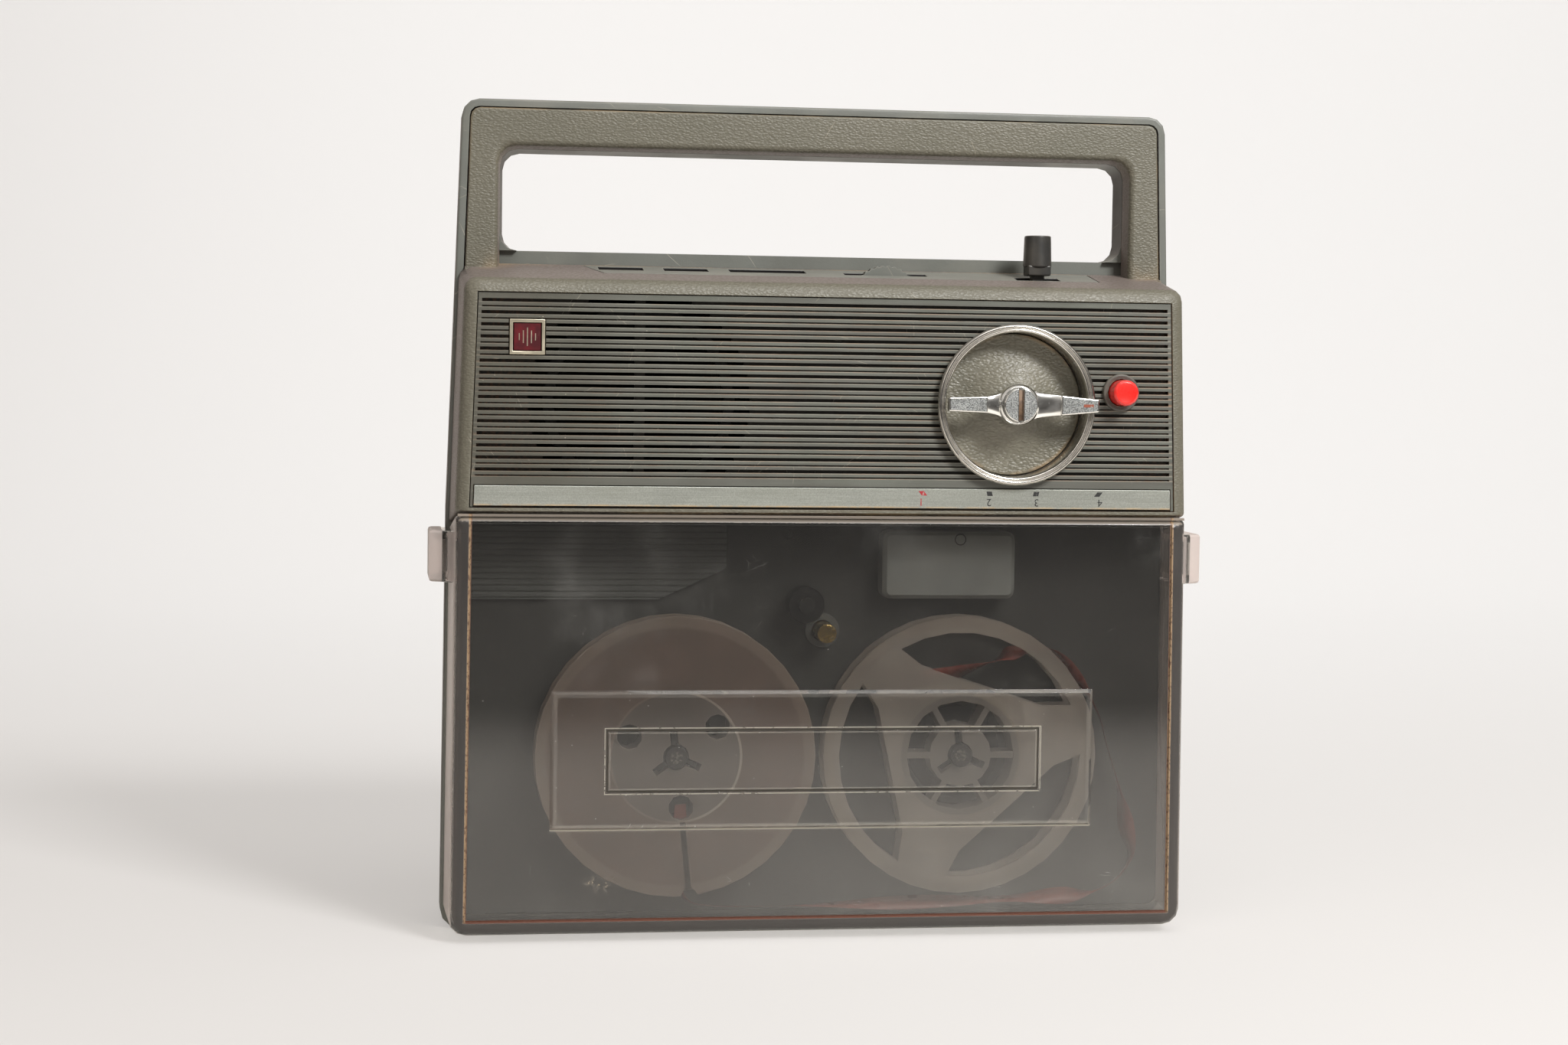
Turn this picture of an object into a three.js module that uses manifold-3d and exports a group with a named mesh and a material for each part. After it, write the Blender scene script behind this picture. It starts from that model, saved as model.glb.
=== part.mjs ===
// A portable reel-to-reel tape recorder that stands on its end with its carrying handle up.
// Units are millimetres. While it is built, x runs across, y is the depth behind the flat face of the
// clear cover and z is the height above the floor. The finished group is centred on its own depth.
import * as THREE from "three";
import { mergeVertices } from "three/addons/utils/BufferGeometryUtils.js";
import Module from "manifold-3d";

const wasm = await Module();
wasm.setup();

// Outline of the case, seen from the front.
const footHalfWidth = 110.2;
const waistTaper = 1;
const crownTaper = 4;
const waistHalfWidth = footHalfWidth - waistTaper;
const crownHalfWidth = waistHalfWidth - crownTaper;
const waistHeight = 124.5;
const shoulderRise = 75.5;
const handleRise = 43.6;
const shoulderHeight = waistHeight + shoulderRise;
const crownHeight = shoulderHeight + handleRise;
const footCornerRadius = 6;
const crownCornerRadius = 5;

// Depths of the case.
const bodyDepth = 61;
const rimFront = 24.6;
const mouthDepth = 33;
const handleInsetDepth = 31;
const handleDepth = 38;
const backDraft = 2;
const backEdgeRadius = 5;
const handleEdgeRadius = 3;
const rimEdge = 0.6;

// Walls and clearances.
const shellWall = 2.2;
const coverWall = 2;
const coverPlate = 2.2;
const rimWidth = 2.2;
const frontStep = 1.9;
const seamStep = 0.9;
const lipDrop = 6.3;
const lipWall = 3;
const seatGap = 0.3;
const overrun = 2;
const weldDistance = 0.0001;

// Grip opening in the handle.
const gripSideWall = 10.3;
const gripNarrowing = 1.9;
const gripFrontHalfWidth = crownHalfWidth - gripSideWall;
const gripBackHalfWidth = gripFrontHalfWidth - gripNarrowing;
const gripTopWall = 13.2;
const gripBackDrop = 1.6;
const gripFrontTop = crownHeight - gripTopWall;
const gripBackTop = gripFrontTop - gripBackDrop;
const gripCornerRadius = 5;
const gripEdgeRadius = 1.5;

// Front shell: control deck, front wall and the slanted end that meets the cover.
const frontShellRise = 66.3;
const deckFrontHeight = waistHeight + frontShellRise;
const deckRiseShare = 0.165;
const junctionSlopeShare = 0.19;
const junctionGap = 0.4;
const bezelRadius = 3.4;
const bezelCornerRadius = 3.6;
const frontWall = 4.6;
const bezelWidth = 3.8;
const grilleFootRise = 1.3;
const grilleCrownDrop = 3.6;
const grilleFoot = waistHeight + grilleFootRise;
const grilleCrown = deckFrontHeight - grilleCrownDrop;
const grilleLedge = 1.6;
const grilleFace = 0.4;
const grilleThickness = 3;

// Ribs and slots of the grille.
const ribPairs = 15;
const ribPitch = 3.43;
const ribTopMargin = 1.5;
const ribTop = grilleCrown - ribTopMargin;
const wideGroove = 0.95;
const wideGrooveDepth = 1.9;
const thinGroove = 0.45;
const thinGrooveDepth = 0.8;
const ribMargin = 1;
const speakerInset = 54.2;
const speakerX = speakerInset - waistHalfWidth;
const speakerRise = 32;
const speakerHeight = waistHeight + speakerRise;
const slotFieldRadius = 32;
const slotBar = 3;

// Brushed strip and badge.
const stripFootRise = 0.7;
const stripFoot = grilleFoot + stripFootRise;
const stripHeight = 5.7;
const stripThickness = 0.8;
const stripInset = 1;
const badgeInset = 21.9;
const badgeX = badgeInset - waistHalfWidth;
const badgeDrop = 12.7;
const badgeHeight = grilleCrown - badgeDrop;
const badgeSize = 10;
const badgeRim = 0.9;
const badgeProud = 0.5;
const badgeThickness = 1.4;

// Selector.
const selectorInset = 54.4;
const selectorX = waistHalfWidth - selectorInset;
const selectorRise = 32.4;
const selectorHeight = waistHeight + selectorRise;
const ringRadius = 23.5;
const ringBarrelRadius = 22.3;
const ringBoreRadius = 21;
const ringFront = -3;
const ringBack = 6.5;
const dishEdgeDepth = 5;
const dishCentreDepth = 1.6;
const dishBack = 8;
const leverPointerReach = 23.7;
const leverTailReach = 20.9;
const leverHubRadius = 6.1;
const leverRootWidth = 7;
const leverTipWidth = 4;
const leverFront = -6;
const leverBack = -3.4;
const leverNeckFront = -4.7;
const leverHubBack = 0.9;
const leverHubChamfer = 1;
const leverPointerMargin = 1;
const leverNeckShare = 0.42;
const leverNeckSlopeShare = 0.33;
const leverNeckWidthShare = 0.67;
const leverPointerShare = 0.67;
const dishFlankShares = [0.4, 0.7];
const dishFlatShare = 0.8;
const hubCapRadius = 4.9;
const hubCapFront = -8;
const hubCapBack = -6.3;
const hubSlotWidth = 1.1;
const hubSlotDepth = 0.7;
const selectorShaftRadius = 2.8;
const selectorShaftBack = 22;
const camRadius = 7;
const camLobe = 4;
const camFront = 14;
const camBack = 17;

// Record button.
const buttonOffset = 31.6;
const buttonX = selectorX + buttonOffset;
const buttonRise = 3.9;
const buttonHeight = selectorHeight + buttonRise;
const buttonRadius = 3.8;
const buttonFront = -6.8;
const buttonCrown = 0.7;
const buttonFlange = 0.9;
const buttonFlangeFront = 4.6;
const buttonFlangeBack = 6;
const buttonStemRadius = 1.5;
const buttonStemBack = 12;
const collarRadius = 5.3;
const collarFront = -0.9;
const collarBack = 4.2;
const collarEdge = 0.5;
const springRadius = 3;
const springWire = 0.5;
const springTurns = 4;
const recordSwitchFront = 14;
const recordSwitchBack = 22;
const recordSwitchHalf = 6;
const recordSwitchSheet = 2;

// Control plate on the top deck, with jack windows, thumbwheel and slide switch.
const plateLeft = -69.2;
const plateRight = 83.5;
const plateFront = 16.5;
const plateBack = 31.6;
const plateThickness = 0.8;
const plateChamfer = 5;
const jackLefts = [-65.2, -45.9, -26.4];
const jackRights = [-52.1, -32.9, -3.8];
const jackWindowFront = 23.5;
const jackWindowBack = 29.5;
const jackBlockDepth = 7;
const jackBlockMargin = 2.5;
const jackBoreRadius = 1.75;
const jackBoreDepth = 5;
const wheelX = 20;
const wheelRadius = 10.6;
const wheelProud = 2.7;
const wheelFront = 22.6;
const wheelThickness = 3;
const wheelTeeth = 36;
const wheelTooth = 0.5;
const wheelSlotHalf = 12.4;
const wheelSlotMargin = 0.6;
const controlShaftRadius = 1.5;
const controlRadius = 5;
const controlBack = 30.1;
const controlBoreBack = 29.4;
const bracketFront = 26.6;
const bracketSheet = 1;
const bracketHalfWidth = 9;
const bracketDrop = 15;
const knobX = 65.4;
const knobDepth = 20;
const knobFootRise = 6.9;
const knobLength = 9.3;
const knobFoot = deckFrontHeight + knobFootRise;
const knobTop = knobFoot + knobLength;
const knobFootRadius = 4.3;
const knobTopRadius = 4;
const knobStemWidth = 4;
const knobStemDepth = 2.6;
const knobStemLength = 10.1;
const knobStemFoot = knobFoot - knobStemLength;
const knobSlotHalf = 6.6;
const knobSlotMargin = 1.4;
const switchBodyHalfWidth = 10;
const switchBodyHalfDepth = 3.8;
const switchBodyDrop = 7.6;
const switchBodyFoot = knobStemFoot - switchBodyDrop;

// Speaker.
const speakerRadius = 28;
const speakerFront = 3.7;
const speakerFlange = 1.3;
const basketBackRadius = 15;
const basketBack = 17;
const magnetRadius = 14;
const magnetBack = 27;
const basketWall = 1;
const coneDepth = 9;
const coneThickness = 0.8;

// Cover.
const coverFoot = 2.4;
const coverEdgeRadius = 3;
const coverSeamGap = 0.4;
const coverLipDepth = 4.6;
const coverFootRadius = 5;
const coverGrooveInset = 4.4;
const coverGrooveWidth = 0.8;
const coverGrooveDepth = 0.7;
const panelMargin = 30.8;
const panelHalfWidth = footHalfWidth - panelMargin;
const panelFoot = 33.3;
const panelTop = 73.1;
const panelRise = 1.2;
const plaqueMargin = 15.6;
const plaqueHalfWidth = panelHalfWidth - plaqueMargin;
const plaqueFoot = 43.9;
const plaqueTop = 62.4;
const plaqueGroove = 0.8;
const plaqueGrooveDepth = 0.6;
const tabDrop = 5.7;
const tabHeight = 14.8;
const tabTop = waistHeight - tabDrop;
const tabFoot = tabTop - tabHeight;
const tabProud = 4.2;
const tabReach = footHalfWidth + tabProud;
const tabFront = 3.6;
const tabShoulder = 9.5;
const tabBack = 29;
const tabWall = 1.6;
const tabRound = 0.9;
const hingeRadius = 2;
const hingePinRadius = 1;
const hingePinLength = 4;
const hingeX = 70;
const knuckleLength = 16;
const earLength = 6;
const earWall = 1;

// Deck under the cover.
const deckFront = 21.5;
const deckThickness = 1.5;
const deckSideGap = 0.8;
const deckTopDrop = 4.7;
const deckTop = waistHeight - deckTopDrop;
const deckBossRadius = 4;
const deckBossBack = 27;
const screwInset = 12.2;
const screwX = footHalfWidth - screwInset;
const screwLow = 14;
const screwHighDrop = 7.8;
const screwHigh = deckTop - screwHighDrop;
const screwRadius = 1.5;
const screwHeadRadius = 2.8;
const screwHeadHeight = 1.6;
const screwSink = 2.6;
const screwTip = 24.4;
const columnRadius = 4.5;
const deckRibs = 8;
const deckRibPitch = 2.6;
const deckRibWidth = 1.1;
const deckRibRise = 0.9;
const deckRibInset = 10.2;
const deckRibLeft = deckRibInset - footHalfWidth;
const deckRibRight = -27;
const deckRibMargin = 2.2;
const deckRibTop = deckTop - deckRibMargin;
const deckRibSlantShare = 1.1;
const deckDotRadius = 1.7;
const deckDotDepth = 0.7;
const deckDotMargin = 2.2;
const deckDotHeight = deckTop - deckDotMargin;
const deckDotX = -8.5;

// Reels and spindles.
const reelX = 42.4;
const reelHeight = 52.7;
const reelRadius = 41.3;
const reelFront = 10.6;
const reelBack = 19.8;
const flangeThickness = 1.1;
const spindleHoleRadius = 3.8;
const keySlotReach = 7.8;
const keySlotWidth = 2.2;
const fullHubRadius = 19.1;
const fullHoleRadius = 3.7;
const fullHoleOrbit = 15;
const threadSlot = 1.6;
const threadNotch = 4;
const openHubRadius = 18;
const openHubWall = 1.8;
const openBossRadius = 9.4;
const openSpokes = 6;
const openSpokeWidth = 1.8;
const windowInner = 21.5;
const windowOuter = 36.5;
const windowSweepShare = 0.8;
const windowChordShare = 0.86;
const takeupTurnShare = 0.017;
const supplyTurnShare = 0.2;
const spindleFront = 9.2;
const spindleCapRadius = 3.4;
const spindleShaftRadius = 2.6;
const spindleKeyWidth = 1.4;
const spindleKeyReach = 6.8;
const spindleKeyFront = 12.5;
const spindleKeyBack = 19;
const turntableRadius = 14;
const turntableFront = 20.1;
const turntableThickness = 1;
const spindleBack = 37;
const bearingRadius = 5;
const bearingBack = 33.2;
const clutchRadius = 15;
const clutchFront = 33.6;
const clutchThickness = 3;
const tapeTurns = 2.3;
const tapeWidth = 6.2;

// Capstan drive.
const capstanX = 2;
const capstanHeight = 88.8;
const capstanRadius = 2.9;
const capstanFront = 11;
const capstanBack = 38;
const capstanBossRadius = 5.2;
const capstanBossRise = 1;
const flywheelRadius = 28;
const flywheelFront = 25.5;
const flywheelThickness = 8;
const flywheelWeb = 3;
const flywheelHubRadius = 9;
const flywheelRim = 5;
const beltDepth = 27.5;
const beltWidth = 1.2;
const beltThickness = 1;
const grooveDepth = 1.2;
const grooveHalfWidth = 1;
const flywheelBracketFront = 35.5;
const bracketThickness = 1.5;
const flywheelBracketHalf = 36;
const flywheelBracketHeight = 5;
const motorInset = 48.2;
const motorDrop = 24.8;
const motorX = footHalfWidth - motorInset;
const motorHeight = deckTop - motorDrop;
const motorRadius = 16;
const motorFront = 31;
const motorBack = 56;
const motorPulleyRadius = 6;
const motorPulleyFront = 25.4;
const motorPulleyBack = 29.8;
const motorShaftRadius = 1.2;
const motorPostOrbit = 12.5;
const motorPostRadius = 2.2;

// Pinch roller and heads.
const rollerX = -4.2;
const rollerHeight = 97.1;
const rollerRadius = 5.4;
const rollerFront = 11.6;
const rollerBack = 18.6;
const rollerAxleRadius = 1.3;
const pinchPivotX = -24.2;
const pinchPivotHeight = 82.1;
const pinchArmWidth = 6;
const pinchPivotRadius = 1.6;
const pinchPostBack = 24.9;
const axleHeadRadius = 2.4;
const pinchArmSheet = 1;
const pinchSlotRadius = 4.2;
const headCoverLeft = 18.7;
const headCoverRight = 58.7;
const headCoverDrop = 0.8;
const headCoverHeight = 20.1;
const headCoverTop = deckTop - headCoverDrop;
const headCoverFoot = headCoverTop - headCoverHeight;
const headCoverFront = 13;
const headCoverWall = 1.2;
const headCoverRadius = 2.5;
const headHalfWidth = 4.5;
const headTall = 9;
const headFootRise = 2.3;
const headFoot = headCoverFoot + headFootRise;
const headFront = 14.9;
const headBack = 21.2;
const recordHeadX = 30;
const eraseHeadX = 48;

// Route of the loose leader tape, as x and height points: down the threading slot, round the open reel
// and back in between its flanges.
const leaderRoute = [
  [-41.9, 30.6],
  [-41.2, 20],
  [-39.2, 10.6],
  [-30, 7.6],
  [0, 7.4],
  [34, 8],
  [70, 10],
  [90, 17],
  [98, 30],
  [99, 52],
  [93, 76],
  [80, 86],
  [62, 84.5],
  [47, 80],
  [30, 73],
  [21, 60],
  [23.8, 50.5],
];
const leaderThickness = 0.4;
const leaderSteps = 48;

// Electrics in the rear shell.
const boardInset = 20.2;
const boardLeft = boardInset - footHalfWidth;
const boardRight = -8;
const boardFoot = 10;
const boardTopDrop = 6.5;
const boardTop = waistHeight - boardTopDrop;
const boardBackRoom = 15;
const boardFront = bodyDepth - boardBackRoom;
const boardThickness = 1.6;
const standoffRadius = 3;
const standoffInset = 5;
const transformerInset = 18;
const transformerX = boardLeft + transformerInset;
const transformerHeight = 94;
const transformerHalfWidth = 9;
const transformerHalfHeight = 7.5;
const transformerDepth = 13;
const transformerCoilShare = 0.62;
const capacitorOffset = 32;
const capacitorX = transformerX + capacitorOffset;
const capacitorHeight = 24;
const capacitorRadius = 5;
const capacitorLength = 26;
const solderSink = 0.5;

// Batteries and their door.
const cellRadius = 13.1;
const cellLength = 49.5;
const cellNubRadius = 3.5;
const cellNub = 1;
const cellColumns = 2;
const lowCellRise = 19.8;
const lowCellHeight = waistHeight + lowCellRise;
const cellBackRoom = 15.8;
const cellDepth = bodyDepth - cellBackRoom;
const contactThickness = 0.8;
const bayWall = 1.2;
const doorInset = 1.6;
const doorThickness = 1.8;
const doorPivotRadius = 1.2;
const doorPinRadius = 0.6;
const doorPinLength = 1.2;

// Feet on the back.
const footInset = 26.2;
const footX = footHalfWidth - footInset;
const lowFootHeight = 16;
const highFootDrop = 12;
const highFootHeight = shoulderHeight - highFootDrop;
const footRadius = 4.5;
const footHeight = 3;
const footDish = 0.8;

// Facet counts.
const cornerSteps = 3;
const roundSteps = 2;
const fineSides = 36;
const motionSides = 24;
const sides = 16;
const coarseSides = 10;

const fullTurn = Math.PI * 2;
const rightAngle = Math.PI / 2;

// Outlines that the pieces share.

function lerp(from, to, share) {
  return from + (to - from) * share;
}

// Half width of the rear shell at a height.
function halfWidthAt(height) {
  if (height < waistHeight) return lerp(footHalfWidth, waistHalfWidth, height / waistHeight);
  const share = (height - waistHeight) / (crownHeight - waistHeight);
  return lerp(waistHalfWidth, crownHalfWidth, share);
}

// How far the front pieces stand in from the rear shell's outline at a depth.
function stepAt(depth) {
  return lerp(frontStep, seamStep, depth / rimFront);
}

// Top surface of the control deck, which rises towards the back.
function deckHeightAt(depth) {
  return deckFrontHeight + deckRiseShare * depth;
}

// Lower edge of the front shell, which slants down towards the back.
function junctionAt(depth) {
  return waistHeight + junctionGap - junctionSlopeShare * depth;
}

// Upper edge of the cover, parallel to the front shell's lower edge.
function coverTopAt(depth) {
  return waistHeight - coverSeamGap - junctionSlopeShare * depth;
}

// A quarter round: how far each step lies behind the face and in from the side.
function quarterRound(radius, steps = roundSteps) {
  return Array.from({ length: steps + 1 }, (_, i) => {
    const angle = (i / steps) * rightAngle;
    return { back: radius * (1 - Math.cos(angle)), inset: radius * (1 - Math.sin(angle)) };
  });
}

// Adds a corner: an arc between two shares of a turn, or a single point if the corner is sharp.
function arc(points, centreX, centreZ, radius, fromTurn, toTurn, steps = cornerSteps) {
  if (radius === 0) {
    points.push([centreX, centreZ]);
    return;
  }
  for (let i = 0; i <= steps; i += 1) {
    const angle = lerp(fromTurn, toTurn, i / steps) * fullTurn;
    points.push([centreX + radius * Math.cos(angle), centreZ + radius * Math.sin(angle)]);
  }
}

// A rounded outline in x and z whose sides follow the case, drawn counterclockwise from its lower left.
function caseRing(
  depth,
  { foot, top, inset = 0, footRadius: low = 0, topRadius: high = 0, waist = false },
) {
  const points = [];
  const lowX = halfWidthAt(foot + low) - inset - low;
  const highX = halfWidthAt(top - high) - inset - high;
  const waistX = halfWidthAt(waistHeight) - inset;
  arc(points, -lowX, foot + low, low, 0.5, 0.75);
  arc(points, lowX, foot + low, low, 0.75, 1);
  if (waist) points.push([waistX, waistHeight]);
  arc(points, highX, top - high, high, 0, 0.25);
  arc(points, -highX, top - high, high, 0.25, 0.5);
  if (waist) points.push([-waistX, waistHeight]);
  return { depth, points };
}

// A rounded rectangle in x and z.
function boxRing(depth, [left, right], [foot, top], radius = 0) {
  const points = [];
  arc(points, left + radius, foot + radius, radius, 0.5, 0.75);
  arc(points, right - radius, foot + radius, radius, 0.75, 1);
  arc(points, right - radius, top - radius, radius, 0, 0.25);
  arc(points, left + radius, top - radius, radius, 0.25, 0.5);
  return { depth, points };
}

// Solids.

function solid(geometry) {
  const bare = geometry.index ? geometry.toNonIndexed() : geometry.clone();
  bare.deleteAttribute("normal");
  bare.deleteAttribute("uv");
  const merged = mergeVertices(bare, weldDistance);
  return new wasm.Manifold(
    new wasm.Mesh({
      numProp: 3,
      vertProperties: merged.attributes.position.array,
      triVerts: new Uint32Array(merged.index.array),
    }),
  );
}

// Skins a row of outlines, front to back, and closes both ends.
function loft(rings) {
  const count = rings[0].points.length;
  const position = rings.flatMap(({ depth, points }) => points.flatMap(([x, z]) => [x, depth, z]));
  const index = [];
  for (let ring = 0; ring + 1 < rings.length; ring += 1) {
    for (let i = 0; i < count; i += 1) {
      const a = ring * count + i;
      const b = ring * count + ((i + 1) % count);
      index.push(a, b + count, b, a, a + count, b + count);
    }
  }
  const flat = ({ points }) => points.map(([x, z]) => new THREE.Vector2(x, z));
  const capOf = (ring) => THREE.ShapeUtils.triangulateShape(flat(ring), []);
  for (const [a, b, c] of capOf(rings[0])) index.push(a, b, c);
  const last = (rings.length - 1) * count;
  for (const [a, b, c] of capOf(rings[rings.length - 1])) index.push(last + a, last + c, last + b);
  const geometry = new THREE.BufferGeometry();
  geometry.setAttribute("position", new THREE.Float32BufferAttribute(position, 3));
  geometry.setIndex(index);
  return solid(geometry);
}

function block([left, right], [front, back], [foot, top]) {
  const geometry = new THREE.BoxGeometry(right - left, back - front, top - foot);
  geometry.translate((left + right) / 2, (front + back) / 2, (foot + top) / 2);
  return solid(geometry);
}

// A round bar along the depth, which may taper from its front radius to its back radius.
function rod(x, height, radius, [front, back], count = sides, backRadius = radius) {
  const geometry = new THREE.CylinderGeometry(backRadius, radius, back - front, count);
  geometry.translate(x, (front + back) / 2, height);
  return solid(geometry);
}

function crossRod(depth, height, radius, [left, right], count = coarseSides) {
  const geometry = new THREE.CylinderGeometry(radius, radius, right - left, count);
  geometry.rotateZ(rightAngle);
  geometry.translate((left + right) / 2, depth, height);
  return solid(geometry);
}

function uprightRod(x, depth, radius, [foot, top], count = sides, topRadius = radius) {
  const geometry = new THREE.CylinderGeometry(topRadius, radius, top - foot, count);
  geometry.rotateX(rightAngle);
  geometry.translate(x, depth, (foot + top) / 2);
  return solid(geometry);
}

// Turns a profile of [radius, depth] points round an axis along the depth. A profile that starts on the
// axis also ends there; any other closes on itself.
function revolve(x, height, profile, count = sides) {
  const onAxis = profile[0][0] === 0;
  const closed = onAxis ? profile : [...profile, profile[0]];
  const points = closed.map(([radius, depth]) => new THREE.Vector2(radius, depth));
  const geometry = new THREE.LatheGeometry(points, count);
  geometry.translate(x, 0, height);
  const made = solid(geometry);
  return made.volume() > 0 ? made : solid(turnedOut(geometry));
}

// The same closed surface with its faces turned round.
function turnedOut(geometry) {
  const index = geometry.index.array.slice();
  for (let i = 0; i < index.length; i += 3) {
    const kept = index[i + 1];
    index[i + 1] = index[i + 2];
    index[i + 2] = kept;
  }
  const turned = geometry.clone();
  turned.setIndex(new THREE.BufferAttribute(index, 1));
  return turned;
}

// A shape drawn in x and z, given a thickness along the depth.
function slab(shape, [front, back], curveSegments = coarseSides) {
  const geometry = new THREE.ExtrudeGeometry(
    shape,
    { depth: back - front, bevelEnabled: false, curveSegments },
  );
  geometry.rotateX(rightAngle);
  geometry.translate(0, back, 0);
  return solid(geometry);
}

// A shape drawn in x and depth, raised between two heights.
function tower(shape, [foot, top], bevel = 0) {
  const geometry = new THREE.ExtrudeGeometry(shape, {
    depth: top - foot - 2 * bevel,
    bevelEnabled: bevel > 0,
    bevelThickness: bevel,
    bevelSize: bevel,
    bevelOffset: -bevel,
    bevelSegments: 2,
    curveSegments: coarseSides,
  });
  geometry.translate(0, 0, foot + bevel);
  return solid(geometry);
}

function shapeOf(points) {
  return new THREE.Shape(points.map(([x, y]) => new THREE.Vector2(x, y)));
}

function joined(solids) {
  return solids.reduce((sum, next) => sum.add(next));
}

function mirrored(points) {
  return points.map(([x, y]) => [-x, y]).reverse();
}

// A block laid in the sloping control deck: along is measured down the slope, above is square to it.
const deckTilt = Math.atan(deckRiseShare);

function deckPiece(shape, [low, high]) {
  const geometry = new THREE.ExtrudeGeometry(shape, {
    depth: high - low,
    bevelEnabled: false,
    curveSegments: coarseSides,
  });
  geometry.translate(0, 0, low);
  geometry.rotateX(deckTilt);
  geometry.translate(0, 0, deckFrontHeight);
  return solid(geometry);
}

function deckBlock([left, right], [front, back], [low, high]) {
  return deckPiece(
    shapeOf([
      [left, front],
      [right, front],
      [right, back],
      [left, back],
    ]),
    [low, high],
  );
}

// Casing.

const sidesOfCase = [-1, 1];
const screwHeights = [screwLow, screwHigh];
const columnPlaces = sidesOfCase.flatMap((side) => screwHeights.map((height) => [side * screwX, height]));
const hingeDepth = rimFront - seatGap / 2;
const coverBack = rimFront - seatGap;
const bayRight = (2 * bayWall + contactThickness + 3 * seatGap + cellColumns * (cellLength + seatGap)) / 2;
const bayLeft = -bayRight;
const bayFront = cellDepth - cellRadius - seatGap - bayWall;
const cellRows = [lowCellHeight, lowCellHeight + 2 * cellRadius + seatGap];
const bayFoot = cellRows[0] - cellRadius - seatGap - bayWall;
const bayTop = cellRows[1] + cellRadius + seatGap + bayWall;
const doorLeft = bayLeft + doorInset;
const doorRight = bayRight - doorInset;
const doorFoot = bayFoot + doorInset;
const doorTop = bayTop - doorInset;
const doorPivotDepth = bodyDepth - doorPivotRadius;
const doorPivotHeight = doorFoot + seatGap + doorPivotRadius;

function knuckleSpan(side) {
  return [side * hingeX - knuckleLength / 2, side * hingeX + knuckleLength / 2];
}

function earSpans(side) {
  const [left, right] = knuckleSpan(side);
  return [
    [left - seatGap - earLength, left - seatGap],
    [right + seatGap, right + seatGap + earLength],
  ];
}

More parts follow.
